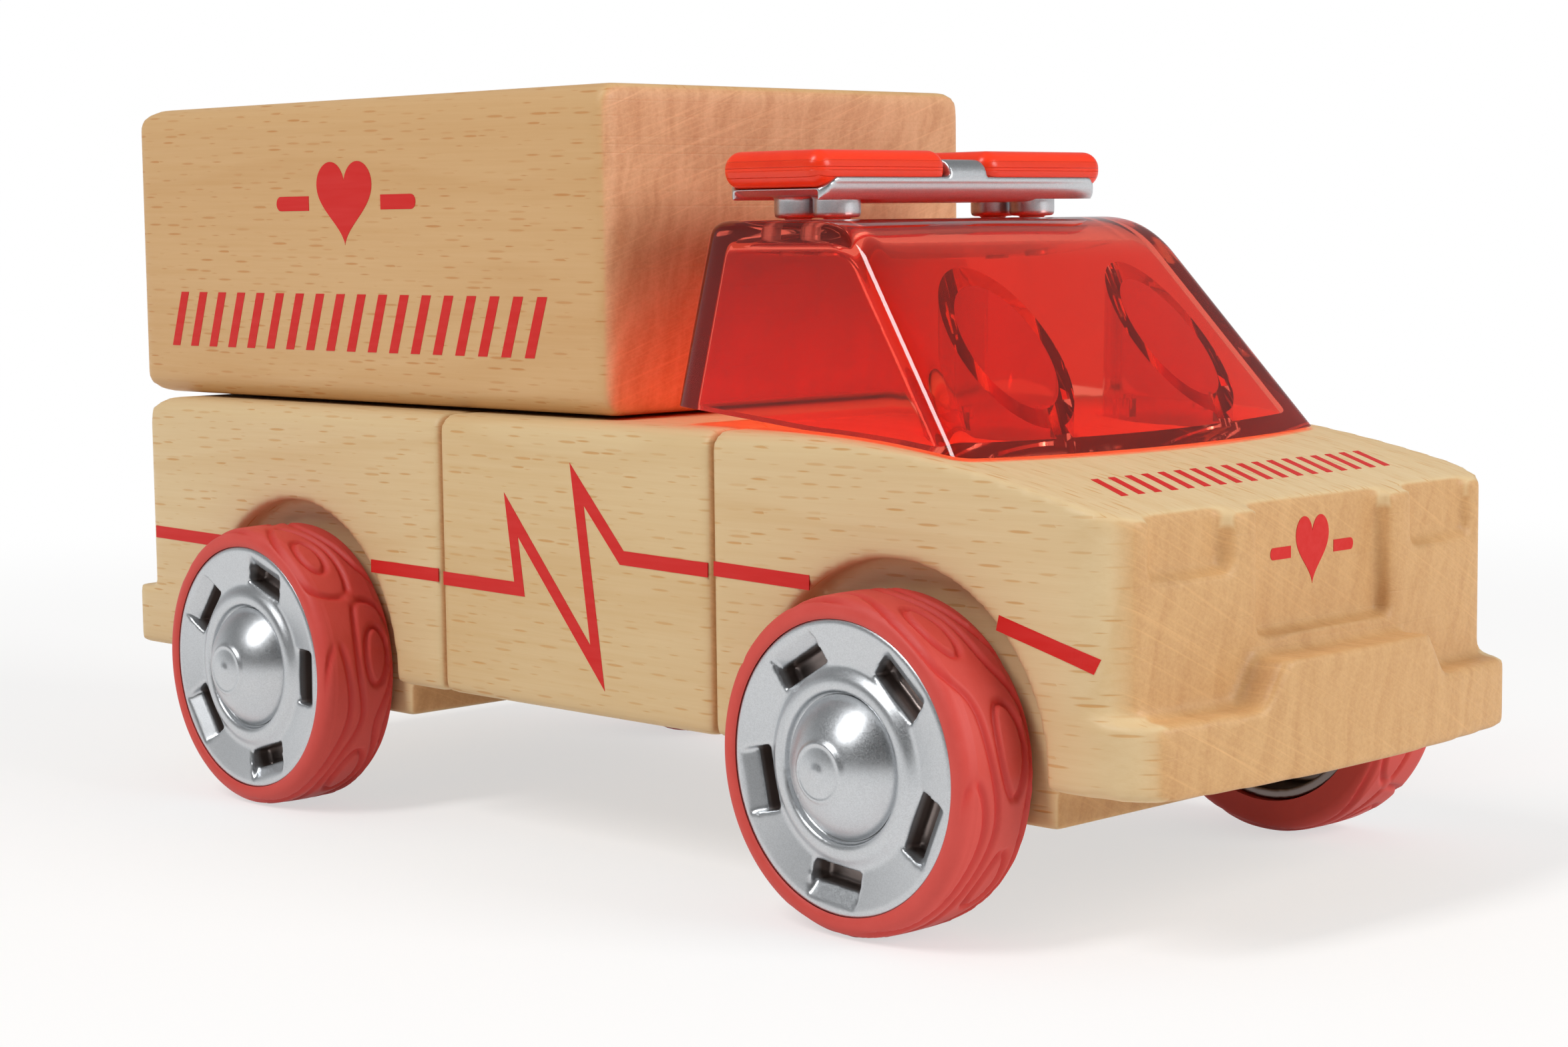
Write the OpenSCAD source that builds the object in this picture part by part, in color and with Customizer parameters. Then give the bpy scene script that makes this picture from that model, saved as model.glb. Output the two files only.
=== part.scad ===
// Wooden toy ambulance that pulls apart: three beech blocks in a row, a beech cargo box on top,
// a clear red canopy with a light bar, and four plug-in wheels with rubber tyres.
// Millimetres. +X is the driving direction, +Z is up, and the origin lies on the floor
// under the middle of the whole toy.

/* [Body] */
// Width of the wooden blocks
body_width = 43.6; // [41:0.2:48]
// Height of the wooden blocks
body_height = 22.1; // [20:0.1:26]
// Height of the blocks' flat bottom above the floor
ground_clearance = 10.85; // [10.2:0.05:12]
// Length of the rear block
rear_block_length = 41.9; // [39:0.1:50]
// Length of the middle block
middle_block_length = 31; // [24:0.5:45]
// Length of the front block up to its front face
front_block_length = 37.6; // [36.5:0.1:45]
// Rounding of the long edges of the blocks
body_edge_radius = 1.3; // [0.6:0.1:2]
// Rounding of the rear block's top corner
rear_corner_radius = 3.5; // [1.5:0.1:5]
// Gap at each seam between two blocks
seam_gap = 0.15; // [0.05:0.05:0.4]

/* [Hood and front] */
// Length of the falling part of the hood
hood_length = 33.3; // [24:0.1:36]
// Radius of the hood's long curve
hood_radius = 125; // [110:1:200]
// Radius of the bowed front face, seen from above
front_bow_radius = 260; // [180:5:600]
// Rounding of the upright front corners
front_corner_radius = 4.9; // [2:0.1:6]
// Half distance between the headlight recesses
headlight_inner = 10.3; // [9.6:0.1:12]
// Width of a headlight recess
headlight_width = 8.1; // [6:0.1:9]
// Height of the headlight recess floor above the blocks' bottom
headlight_sill = 13.8; // [12:0.1:15]
// Depth of the headlight and grille recesses
recess_depth = 1.4; // [0.8:0.1:2]
// Width of the grille recess
grille_width = 15.2; // [11:0.2:18]
// Height of the grille recess floor above the blocks' bottom
grille_sill = 9.2; // [8.4:0.1:12]

/* [Bumpers] */
// How far the front bumper stands out of the front face
bumper_reach = 3; // [2:0.1:4]
// Radius of the bowed bumper, seen from above
bumper_bow_radius = 124; // [90:1:300]
// Height of the bumper's end ledges
bumper_height = 5; // [4:0.1:6]
// Extra height of the raised bumper centre
bumper_rise = 3; // [2:0.1:3.2]
// Width of the raised centre along its top
bumper_rise_width = 16.8; // [12:0.2:22]
// How far the rear lip stands out of the rear face
rear_lip_reach = 3; // [1:0.1:3.2]
// Height of the rear lip
rear_lip_height = 5.2; // [3.5:0.1:8]

/* [Wheels] */
// Radius of the tyre
wheel_radius = 11.55; // [11.2:0.05:12]
// Width of the tyre
tyre_width = 7.1; // [6.4:0.1:8]
// How far the tyres stand out of the blocks' sides
wheel_stand_out = 5.3; // [4.9:0.1:6.4]
// Distance from the rear face to the rear axle
rear_axle_inset = 22.2; // [18:0.1:23]
// Distance from the front face to the front axle
front_axle_inset = 20; // [18:0.1:21]
// Gap between the tyre and the wheel arch
arch_clearance = 1.95; // [1:0.05:2.2]
// Radius of the silver rim
rim_radius = 10.1; // [9.6:0.1:10.3]
// Radius of the domed hub cap
hub_cap_radius = 5.1; // [4.4:0.1:5.4]
// Height of the hub cap's dome
hub_cap_height = 2.3; // [1.6:0.1:3]
// Number of slots in the rim
rim_slots = 5; // [3:1:8]
// Radius of the stub axle
axle_radius = 1.5; // [1.2:0.1:1.8]
// Wall of the axle bush
bush_wall = 0.95; // [0.7:0.05:1.2]

/* [Cargo box] */
// Length of the cargo box
box_length = 63.4; // [55:0.2:66]
// Width of the cargo box
box_width = 39.6; // [34:0.2:48]
// Height of the cargo box
box_height = 24.9; // [18:0.1:32]
// How far the box stands out behind the rear face
box_overhang = 3.5; // [2.5:0.1:5]
// Rounding of the box's rear corners
box_corner_radius = 3; // [1.5:0.1:5]
// Rounding of the box's long edges
box_edge_radius = 1.9; // [0.8:0.1:3]
// Radius of the two dowels under the box
dowel_radius = 3; // [2:0.1:4]
// Length of a dowel
dowel_length = 15; // [10:0.5:18]

/* [Canopy] */
// Length of the canopy from its rear wall to the windshield's foot
canopy_length = 29.8; // [28.6:0.1:30.2]
// Width of the canopy at the top of the blocks
canopy_width = 39.6; // [37:0.2:41]
// Height of the roof above the blocks
canopy_height = 14.8; // [12:0.1:18]
// How far the canopy reaches over the middle block
canopy_overhang = 6.6; // [5.4:0.1:7.4]
// Wall of the canopy
canopy_wall = 1.7; // [1.2:0.1:2.2]
// Lean of the windshield from upright, in degrees
windshield_lean = 40.6; // [36:0.2:44]
// Radius of the bowed windshield
windshield_bow_radius = 113; // [80:1:250]
// Lean of the canopy's sides from upright, in degrees
canopy_side_lean = 12.4; // [6:0.2:16]
// Height of the canopy's lower edge above the blocks at its rear
canopy_rear_lift = 1.5; // [0.8:0.1:2]
// Radius of the curve from the roof to the windshield
roof_curve_radius = 8; // [4:0.1:9]
// Radius of the canopy's two hollow posts
post_radius = 4.7; // [3.6:0.1:4.8]
// Distance between the posts
post_spacing = 18; // [14:0.2:20]
// Depth of the posts in the front block
post_depth = 6; // [4:0.1:8]

/* [Light bar] */
// Length of the light bar across the roof
bar_length = 31.7; // [29:0.1:33]
// Depth of the light bar along the roof
bar_depth = 10.4; // [9:0.1:11.4]
// Distance from the canopy's rear wall to the middle of the bar
bar_setback = 6.7; // [6.2:0.1:7.2]
// Height of the bar's feet
foot_height = 1.6; // [1.2:0.05:2]
// Radius of a foot
foot_radius = 1.75; // [1.4:0.05:2]
// Distance between the feet across the roof
foot_spacing = 21.6; // [18:0.2:23]
// Thickness of the tray's ends under the lenses
tray_thickness = 0.5; // [0.4:0.05:0.9]
// How far the tray's round hull hangs under its ends
hull_drop = 0.55; // [0.2:0.05:1]
// Height of the tray's long lips
lip_height = 0.8; // [0.6:0.1:1.2]
// Height of the lenses above the tray
lens_height = 2.75; // [2.4:0.05:4]
// Width of the silver strap between the lenses
strap_width = 4; // [3:0.1:6]

/* [Connectors] */
// Width of a connector plate
connector_width = 24; // [22:0.5:28]
// Height of a connector plate
connector_height = 11; // [9:0.5:13]
// Thickness of the plug's plate
plug_thickness = 3; // [2.5:0.1:4]
// Radius of a connector peg
peg_radius = 2.5; // [2:0.1:3.2]
// Length of a connector peg
peg_length = 7; // [5:0.1:8]
// Distance between the two pegs
peg_spacing = 12; // [10:0.5:14]

/* [Clearances] */
// Gap around pieces that are glued or pressed in
glue_gap = 0.04; // [0.02:0.01:0.08]
// Radial gap around shafts, pegs and posts
running_gap = 0.06; // [0.03:0.01:0.1]
// Gap under pieces that sit on another
seat_gap = 0.25; // [0.15:0.05:0.4]

/* [Hidden] */

$fn = 96;
// Overrun of every cut past the face that it opens
overrun = 1;
// Sides of the vehicle along Y
left = 1;
right = -1;

// Colours
beech = "#e2c393";
end_grain = "#d3ab78";
clear_red = "#c8201c";
lamp_red = "#e8371c";
silver = "#b9bbbd";
rubber_red = "#c9353a";
connector_grey = "#54585c";
steel = "#9a9ea3";

// Rounding of the edges at the seams
seam_edge_radius = 0.4;
// Rounding of the blocks' lower long edges
body_foot_radius = 0.9;
// Rounding of the rear block's upright corners
rear_upright_radius = 1.6;
// Rounding of the bumper's corners, seen from above
bumper_corner_radius = 6.5;
// Rounding of the rear lip's corners, seen from above
rear_lip_corner_radius = 2.2;
// How much wider the raised bumper centre is at its foot, on each side
bumper_rise_flare = 2;
// How far the bumper reaches back into the front block
bumper_root = 6;
// Rounding of the box's front and upright corners
box_front_radius = 1;
// Distance of each dowel from its end of the block
dowel_end_distance = 8;
// Rounding of the connector plates
connector_corner_radius = 2;
// Wall behind the pegs in a socket
socket_wall = 1.2;
// Free space past a peg's tip
peg_tip_gap = 0.4;
// How far the belly reaches ahead of and behind an axle
belly_reach = 12.4;
// Depth of the belly under the blocks' bottom
belly_depth = 3;
// Gap between the tyre and the arch's floor
arch_floor_gap = 0.7;
// Rounding of the tyre's shoulders
shoulder_radius = 0.9;
// Thickness of the tyre under its tread
tyre_thickness = 2.6;
// Thickness of the rim's lip in front of the tyre
rim_lip = 0.9;
// Depth of the rim's lip behind the tyre's outer face
rim_lip_depth = 0.1;
// Rounding of the rim's edge
rim_edge = 0.45;
// Wall of the rim's barrel
barrel_wall = 0.8;
// Thickness of the rim's face
rim_face = 2.8;
// Inset of the rim's barrel from the tyre's inner face
barrel_inset = 0.4;
// Radius of the rim's hub
hub_radius = 3.4;
// Width and height of the raised ring around the hub cap
ring_width = 0.7;
ring_height = 0.5;
// Width of the ring's soft outer flank
ring_flank = 1;
// Rounding of the ring's crest
crest_radius = 0.25;
// Depth of the hub cap's seat
cap_seat_depth = 0.6;
// Drop of the hub cap's edge below the ring's crest
cap_edge_drop = 0.45;
// Length of a rim slot along the rim
slot_length = 4.5;
// Distance from the ring's crest to a slot
slot_ring_gap = 0.9;
// Width and depth of a slot's pocket
slot_pocket = 1.5;
slot_pocket_depth = 2.2;
// Depth of a slot's sloping floor
slot_depth = 0.9;
// Distance from a slot to the rim's edge
slot_edge = 0.8;
// Turn of the first slot from straight ahead on the front and rear wheels
front_slot_turn = 48.5;
rear_slot_turn = 71;
// Length of the bush in the wood
bush_length = 10.8;
// Radius and thickness of the bush's flange
bush_flange_radius = 3.6;
bush_flange = 0.4;
// Head at the axle's inner end
axle_head_radius = 2.1;
axle_head_length = 1.1;
// End play of an axle in its bush
axle_end_play = 0.25;
// Length of the cap's spigot in the rim's hub
spigot_length = 1.6;
// Rounding of the canopy's roof edges
roof_edge_radius = 1.4;
// Lean of the canopy's rear wall
canopy_rear_lean = 3;
// Wall of a post
post_wall = 1.1;
// Distance from the windshield's foot to the middle of the posts
post_setback = 7.1;
// Width, reach and height of the ribs round the posts
rib_width = 1.5;
rib_reach = 0.7;
rib_height = 1.5;
// Distance between the two feet at each end of the bar
foot_pair_spacing = 4;
// Radius of the pegs under the feet
foot_peg_radius = 0.9;
// Length of the pegs under the roof
foot_peg_tail = 0.6;
// Rounding of the feet
foot_edge_radius = 0.3;
// Half length of the hull's level part, and the length of the rise at its ends
hull_half = 8;
hull_run = 1.6;
// How far the tray ends inside the lenses, and how far its ends slant in
tray_inset = 0.6;
tray_slant = 0.9;
// Thickness of the tray's lips
lip_thickness = 0.9;
// Height of the flat band along the lips, and its step over the hull
lip_band = 0.35;
lip_step = 0.1;
// Length of the lips' falling ends
lip_run = 1.5;
// Rounding of the lenses, as a share of their height
lens_edge_radius = 0.46 * lens_height;
lens_corner_radius = 1.4;
// Drop of the strap under the top of the lenses
strap_drop = 0.65;
// Gap between a lens and the tray
lens_gap = 0.05;
// Steps of a rounded corner in an outline
arc_steps = 10;

// Places along X
body_length = rear_block_length + middle_block_length + front_block_length + 2 * seam_gap;
body_rear_x = (max(box_overhang, rear_lip_reach) - body_length - bumper_reach) / 2;
rear_seam_x = body_rear_x + rear_block_length;
middle_rear_x = rear_seam_x + seam_gap;
middle_front_x = middle_rear_x + middle_block_length;
front_seam_x = middle_front_x + seam_gap;
front_face_x = front_seam_x + front_block_length;
bumper_front_x = front_face_x + bumper_reach;
rear_axle_x = body_rear_x + rear_axle_inset;
front_axle_x = front_face_x - front_axle_inset;
box_rear_x = body_rear_x - box_overhang;
canopy_rear_x = front_seam_x - canopy_overhang;
canopy_foot_x = canopy_rear_x + canopy_length;
post_x = canopy_foot_x - post_setback;
bar_x = canopy_rear_x + bar_setback;
hood_start_x = front_face_x - hood_length;

// Places along Z
body_bottom_z = ground_clearance;
body_top_z = body_bottom_z + body_height;
box_bottom_z = body_top_z + seat_gap;
box_top_z = box_bottom_z + box_height;
canopy_top_z = body_top_z + canopy_height;
connector_z = (body_bottom_z + body_top_z) / 2;
foot_z = canopy_top_z + seat_gap / 2;
tray_z = foot_z + foot_height;
tray_top_z = tray_z + tray_thickness;
hull_z = tray_z - hull_drop;
lip_top_z = tray_top_z + lip_height;
lens_top_z = tray_top_z + lens_height;
dowel_bottom_z = box_bottom_z - dowel_length / 2;
dowel_top_z = box_bottom_z + dowel_length / 2;

// Places along Y
body_half = body_width / 2;
wheel_outer_y = body_half + wheel_stand_out;
wheel_inner_y = wheel_outer_y - tyre_width;
arch_floor_y = wheel_inner_y - arch_floor_gap;
bush_inner_y = arch_floor_y - bush_length;
axle_head_y = bush_inner_y - axle_end_play;
axle_pocket_y = axle_head_y - axle_head_length - axle_end_play;

// Radii
arch_radius = wheel_radius + arch_clearance;
bush_radius = axle_radius + running_gap + bush_wall;
bush_bore_radius = axle_radius + running_gap;
tyre_seat_radius = wheel_radius - tyre_thickness;
barrel_radius = tyre_seat_radius - glue_gap;
ring_radius = hub_cap_radius + glue_gap + ring_width;
slot_inner_radius = ring_radius + slot_ring_gap;
slot_outer_radius = rim_radius - slot_edge;

// Height of the hood's surface at a place along X
function hood_drop(x) = x <= hood_start_x
    ? 0
    : hood_radius - sqrt(pow(hood_radius, 2) - pow(x - hood_start_x, 2));
function hood_z(x) = body_top_z - hood_drop(x);

// Points of an arc
function arc(centre, radius, from, to) = [
    for (i = [0 : arc_steps])
        let (a = from + (to - from) * i / arc_steps)
        [centre.x + radius * cos(a), centre.y + radius * sin(a)]
];

// Points of a soft step from one place to another
function sway(from, to) = [
    for (i = [0 : arc_steps])
        let (t = i / arc_steps)
        [from.x + (to.x - from.x) * t, from.y + (to.y - from.y) * (1 - cos(180 * t)) / 2]
];

// Rectangle from low to high whose corners have their own radii, in the order
// low-low, high-low, high-high, low-high
module rounded_rect(low, high, radii) {
    centres = [
        [low.x + radii[0], low.y + radii[0]],
        [high.x - radii[1], low.y + radii[1]],
        [high.x - radii[2], high.y - radii[2]],
        [low.x + radii[3], high.y - radii[3]]
    ];
    polygon([
        for (i = [0 : 3])
            each arc(centres[i], radii[i], 180 + 90 * i, 270 + 90 * i)
    ]);
}

// Extrude an outline drawn in X and Z across Y
module across(half) {
    rotate([90, 0, 0])
        linear_extrude(2 * half, center = true)
            children();
}

// Extrude an outline drawn in Y and Z from one X to another
module lengthwise(from, to) {
    translate([from, 0, 0])
        rotate([90, 0, 90])
            linear_extrude(to - from)
                children();
}

// Extrude an outline drawn in X and Y from one Z to another
module upright(from, to) {
    translate([0, 0, from])
        linear_extrude(to - from)
            children();
}

// Block with rounded edges: radii of its side, end and plan outlines
module eased_block(low, high, side_radii, end_radii, plan_radii) {
    intersection() {
        across(max(high.y, -low.y) + overrun)
            rounded_rect([low.x, low.z], [high.x, high.z], side_radii);
        lengthwise(low.x - overrun, high.x + overrun)
            rounded_rect([low.y, low.z], [high.y, high.z], end_radii);
        upright(low.z - overrun, high.z + overrun)
            rounded_rect([low.x, low.y], [high.x, high.y], plan_radii);
    }
}

// Radii of a wooden block's end outline
body_end_radii = [body_foot_radius, body_foot_radius, body_edge_radius, body_edge_radius];

// Cylinder along Y from one distance to another on one side of the vehicle
module side_cylinder(x, z, radius, from, to, side) {
    translate([x, side * from, z])
        rotate([-90 * side, 0, 0])
            cylinder(r = radius, h = to - from);
}

// Wheel arches, bush holes and axle pockets of one axle
module axle_cuts(axle_x) {
    for (side = [left, right]) {
        side_cylinder(axle_x, wheel_radius, arch_radius, arch_floor_y, body_half + overrun, side);
        side_cylinder(axle_x, wheel_radius, bush_radius + glue_gap, axle_pocket_y,
            arch_floor_y + overrun, side);
    }
}

// Belly that carries one axle under a block
module belly(axle_x) {
    upright(body_bottom_z - belly_depth, body_bottom_z + overrun)
        rounded_rect([axle_x - belly_reach, -arch_floor_y], [axle_x + belly_reach, arch_floor_y],
            [0, 0, 0, 0]);
}

// Pocket for a connector plate, from one X to another
module connector_form(from, to, grow) {
    half_width = connector_width / 2 + grow;
    half_height = connector_height / 2 + grow;
    radius = connector_corner_radius + grow;
    lengthwise(from, to)
        translate([0, connector_z])
            rounded_rect([-half_width, -half_height], [half_width, half_height],
                [radius, radius, radius, radius]);
}

// Two pegs or peg holes along X
module peg_pair(from, to, radius) {
    for (side = [left, right])
        translate([from, side * peg_spacing / 2, connector_z])
            rotate([0, 90, 0])
                cylinder(r = radius, h = to - from);
}

// Dowels or dowel holes between the box and the rear block
module dowel_pair(from, to, radius) {
    for (x = [body_rear_x + dowel_end_distance, rear_seam_x - dowel_end_distance])
        translate([x, 0, from])
            cylinder(r = radius, h = to - from);
}

// Posts or post holes of the canopy
module post_pair(from, to, radius) {
    for (side = [left, right])
        translate([post_x, side * post_spacing / 2, from])
            cylinder(r = radius, h = to - from);
}

// Pegs or peg holes of the light bar's feet
module foot_set(from, to, radius) {
    for (side = [left, right], end = [-1, 1])
        translate([bar_x + end * foot_pair_spacing / 2, side * foot_spacing / 2, from])
            cylinder(r = radius, h = to - from);
}

module rear_block() {
    color(beech)
        difference() {
            union() {
                eased_block(
                    [body_rear_x, -body_half, body_bottom_z],
                    [rear_seam_x, body_half, body_top_z],
                    [body_foot_radius, seam_edge_radius, seam_edge_radius, rear_corner_radius],
                    body_end_radii,
                    [rear_upright_radius, seam_edge_radius, seam_edge_radius, rear_upright_radius]);
                rear_lip();
                belly(rear_axle_x);
            }
            axle_cuts(rear_axle_x);
            connector_form(rear_seam_x - plug_thickness - glue_gap, rear_seam_x + overrun, glue_gap);
            dowel_pair(dowel_bottom_z - seat_gap, body_top_z + overrun, dowel_radius + running_gap);
        }
}

// Bumper lip across the foot of the rear face
module rear_lip() {
    eased_block(
        [body_rear_x - rear_lip_reach, -body_half, body_bottom_z],
        [body_rear_x + rear_upright_radius + rear_lip_corner_radius, body_half,
            body_bottom_z + rear_lip_height],
        [body_foot_radius, 0, 0, body_foot_radius],
        [body_foot_radius, body_foot_radius, seam_edge_radius, seam_edge_radius],
        [rear_lip_corner_radius, 0, 0, rear_lip_corner_radius]);
}

module middle_block() {
    seam_radii = [seam_edge_radius, seam_edge_radius, seam_edge_radius, seam_edge_radius];
    color(beech)
        difference() {
            eased_block(
                [middle_rear_x, -body_half, body_bottom_z],
                [middle_front_x, body_half, body_top_z],
                seam_radii, body_end_radii, seam_radii);
            connector_form(middle_rear_x - overrun, middle_rear_x + socket_depth + glue_gap, glue_gap);
            connector_form(middle_front_x - socket_depth - glue_gap, middle_front_x + overrun, glue_gap);
        }
}
// Depth of a socket in the middle block
socket_depth = peg_length + peg_tip_gap + socket_wall;

// Side outline of the front block: flat top, then the hood's long curve
module front_outline() {
    intersection() {
        rounded_rect([front_seam_x, body_bottom_z], [front_face_x + overrun, body_top_z],
            [seam_edge_radius, 0, 0, seam_edge_radius]);
        union() {
            rounded_rect([front_seam_x - overrun, body_bottom_z - overrun],
                [hood_start_x, body_top_z + overrun], [0, 0, 0, 0]);
            translate([hood_start_x, body_top_z - hood_radius])
                circle(r = hood_radius, $fn = 720);
        }
    }
}

// Plan outline bowed at the front
module bowed_plan(rear_x, front_x, bow_radius, rear_radius, front_radius) {
    intersection() {
        rounded_rect([rear_x, -body_half], [front_x, body_half],
            [rear_radius, front_radius, front_radius, rear_radius]);
        translate([front_x - bow_radius, 0])
            circle(r = bow_radius, $fn = 720);
    }
}

// Front bumper: low ledges with a raised centre
module front_bumper() {
    ledge_z = body_bottom_z + bumper_height;
    rise_z = ledge_z + bumper_rise;
    top_half = bumper_rise_width / 2;
    foot_half = top_half + bumper_rise_flare;
    intersection() {
        upright(body_bottom_z, rise_z)
            bowed_plan(front_face_x - bumper_root, bumper_front_x, bumper_bow_radius,
                0, bumper_corner_radius);
        lengthwise(front_face_x - bumper_root, bumper_front_x)
            polygon([
                [-body_half, body_bottom_z + body_foot_radius],
                [-body_half + body_foot_radius, body_bottom_z],
                [body_half - body_foot_radius, body_bottom_z],
                [body_half, body_bottom_z + body_foot_radius],
                [body_half, ledge_z],
                [foot_half, ledge_z],
                [top_half, rise_z],
                [-top_half, rise_z],
                [-foot_half, ledge_z],
                [-body_half, ledge_z]
            ]);
    }
}

// Recesses in the front face that open at the hood's edge
module front_recess(inner, outer, sill) {
    lengthwise(front_face_x - recess_depth, front_face_x + overrun)
        rounded_rect([inner, body_bottom_z + sill], [outer, body_top_z], [0, 0, 0, 0]);
}

module front_block() {
    headlight_outer = headlight_inner + headlight_width;
    color(beech)
        difference() {
            union() {
                difference() {
                    intersection() {
                        across(body_half + overrun)
                            front_outline();
                        lengthwise(front_seam_x - overrun, front_face_x + overrun)
                            rounded_rect([-body_half, body_bottom_z], [body_half, body_top_z],
                                body_end_radii);
                        upright(body_bottom_z - overrun, body_top_z + overrun)
                            bowed_plan(front_seam_x, front_face_x, front_bow_radius,
                                seam_edge_radius, front_corner_radius);
                    }
                    front_recess(headlight_inner, headlight_outer, headlight_sill);
                    front_recess(-headlight_outer, -headlight_inner, headlight_sill);
                    front_recess(-grille_width / 2, grille_width / 2, grille_sill);
                }
                front_bumper();
                belly(front_axle_x);
            }
            axle_cuts(front_axle_x);
            connector_form(front_seam_x - overrun, front_seam_x + plug_thickness + glue_gap, glue_gap);
            post_pair(body_top_z - post_depth - seat_gap, body_top_z + overrun,
                post_radius + running_gap);
        }
}

module cargo_box() {
    half = box_width / 2;
    edge_radii = [box_edge_radius, box_edge_radius, box_edge_radius, box_edge_radius];
    color(beech)
        difference() {
            eased_block(
                [box_rear_x, -half, box_bottom_z],
                [box_rear_x + box_length, half, box_top_z],
                [box_corner_radius, box_front_radius, box_front_radius, box_corner_radius],
                edge_radii,
                [box_edge_radius, box_front_radius, box_front_radius, box_edge_radius]);
            dowel_pair(box_bottom_z - overrun, dowel_top_z + glue_gap, dowel_radius + glue_gap);
        }
}

module box_dowels() {
    color(end_grain)
        dowel_pair(dowel_bottom_z, dowel_top_z, dowel_radius);
}

// Plug: a plate in its block with two pegs that stand out of the seam
module plug(seam_x, facing) {
    color(connector_grey)
        union() {
            connector_form(
                facing > 0 ? seam_x - plug_thickness : seam_x,
                facing > 0 ? seam_x : seam_x + plug_thickness, 0);
            peg_pair(
                facing > 0 ? seam_x - plug_thickness / 2 : seam_x - seam_gap - peg_length,
                facing > 0 ? seam_x + seam_gap + peg_length : seam_x + plug_thickness / 2,
                peg_radius);
        }
}

// Socket in the middle block for a plug's pegs
module socket(seam_x, facing) {
    hole_depth = peg_length + peg_tip_gap;
    color(connector_grey)
        difference() {
            connector_form(
                facing > 0 ? seam_x - socket_depth : seam_x,
                facing > 0 ? seam_x : seam_x + socket_depth, 0);
            peg_pair(
                facing > 0 ? seam_x - hole_depth : seam_x - overrun,
                facing > 0 ? seam_x + overrun : seam_x + hole_depth,
                peg_radius + running_gap);
        }
}

// Solid form of the canopy, drawn in from its outside by an inset. The windshield and the roof's
// curve are turned about an upright axis far behind them.
module canopy_form(inset) {
    side_run = tan(canopy_side_lean);
    top_z = canopy_top_z - inset;
    low_z = body_top_z - canopy_height;
    rise = top_z - body_top_z;
    curve = roof_curve_radius - inset;
    toe_radius = windshield_bow_radius - inset / cos(windshield_lean);
    curve_radius = toe_radius - rise * tan(windshield_lean)
        - curve * tan((90 - windshield_lean) / 2);
    rear_x = canopy_rear_x + inset / cos(canopy_rear_lean);
    rear_shift = canopy_height * tan(canopy_rear_lean);
    half_base = canopy_width / 2 - inset / cos(canopy_side_lean);
    edge = max(roof_edge_radius - inset, roof_edge_radius / 4);
    edge_y = half_base - rise * side_run - edge * tan((90 - canopy_side_lean) / 2);
    intersection() {
        translate([canopy_foot_x - windshield_bow_radius, 0, 0])
            rotate_extrude($fn = 360)
                polygon(concat(
                    [[0, low_z], [toe_radius + canopy_height * tan(windshield_lean), low_z]],
                    arc([curve_radius, top_z - curve], curve, windshield_lean, 90),
                    [[0, top_z]]));
        lengthwise(canopy_rear_x - canopy_height, canopy_foot_x + canopy_length)
            polygon(concat(
                [[half_base + canopy_height * side_run, low_z - overrun]],
                arc([edge_y, top_z - edge], edge, canopy_side_lean, 90),
                arc([-edge_y, top_z - edge], edge, 90, 180 - canopy_side_lean),
                [[-half_base - canopy_height * side_run, low_z - overrun]]));
        across(canopy_width)
            polygon([
                [rear_x - rear_shift, body_top_z - canopy_height],
                [canopy_foot_x + canopy_length, body_top_z - canopy_height],
                [canopy_foot_x + canopy_length, body_top_z + 2 * canopy_height],
                [rear_x + 2 * rear_shift, body_top_z + 2 * canopy_height]
            ]);
    }
}

// Room that the blocks and the canopy's lower edge keep free: below the slanting edge
// and below the hood
module canopy_floor() {
    toe_z = hood_z(canopy_foot_x) + seat_gap;
    across(canopy_width)
        polygon([
            [canopy_rear_x - canopy_length, body_top_z - canopy_height],
            [canopy_foot_x + canopy_length, body_top_z - canopy_height],
            [canopy_foot_x + canopy_length, toe_z],
            [canopy_foot_x, toe_z],
            [canopy_rear_x, body_top_z + canopy_rear_lift],
            [canopy_rear_x - canopy_length, body_top_z + canopy_rear_lift]
        ]);
    across(canopy_width)
        intersection() {
            translate([hood_start_x, body_top_z + seat_gap - hood_radius])
                circle(r = hood_radius, $fn = 720);
            rounded_rect([front_seam_x, body_top_z - canopy_height],
                [canopy_foot_x + canopy_length, body_top_z + overrun], [0, 0, 0, 0]);
        }
}

// Ribs round the posts that rest on the hood
module post_ribs() {
    reach = post_radius + rib_reach;
    difference() {
        for (side = [left, right], turn = [0, 90])
            translate([post_x, side * post_spacing / 2, 0])
                rotate([0, 0, turn])
                    upright(body_top_z - post_depth, hood_z(post_x) + rib_height)
                        rounded_rect([-reach, -rib_width / 2], [reach, rib_width / 2], [0, 0, 0, 0]);
        canopy_floor();
    }
}

module canopy() {
    post_bottom_z = body_top_z - post_depth;
    joint_z = body_top_z + canopy_wall / 2;
    bore_radius = post_radius - post_wall;
    color(clear_red, 0.6)
        difference() {
            union() {
                difference() {
                    canopy_form(0);
                    canopy_form(canopy_wall);
                    canopy_floor();
                }
                intersection() {
                    canopy_form(canopy_wall / 2);
                    union() {
                        post_pair(body_top_z, canopy_top_z, post_radius);
                        post_ribs();
                    }
                }
                post_pair(post_bottom_z, joint_z, post_radius);
            }
            intersection() {
                canopy_form(canopy_wall);
                post_pair(body_top_z, canopy_top_z, bore_radius);
            }
            post_pair(post_bottom_z - overrun, joint_z, bore_radius);
            foot_set(canopy_top_z - canopy_wall - overrun, canopy_top_z + overrun,
                foot_peg_radius + running_gap);
        }
}

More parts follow.
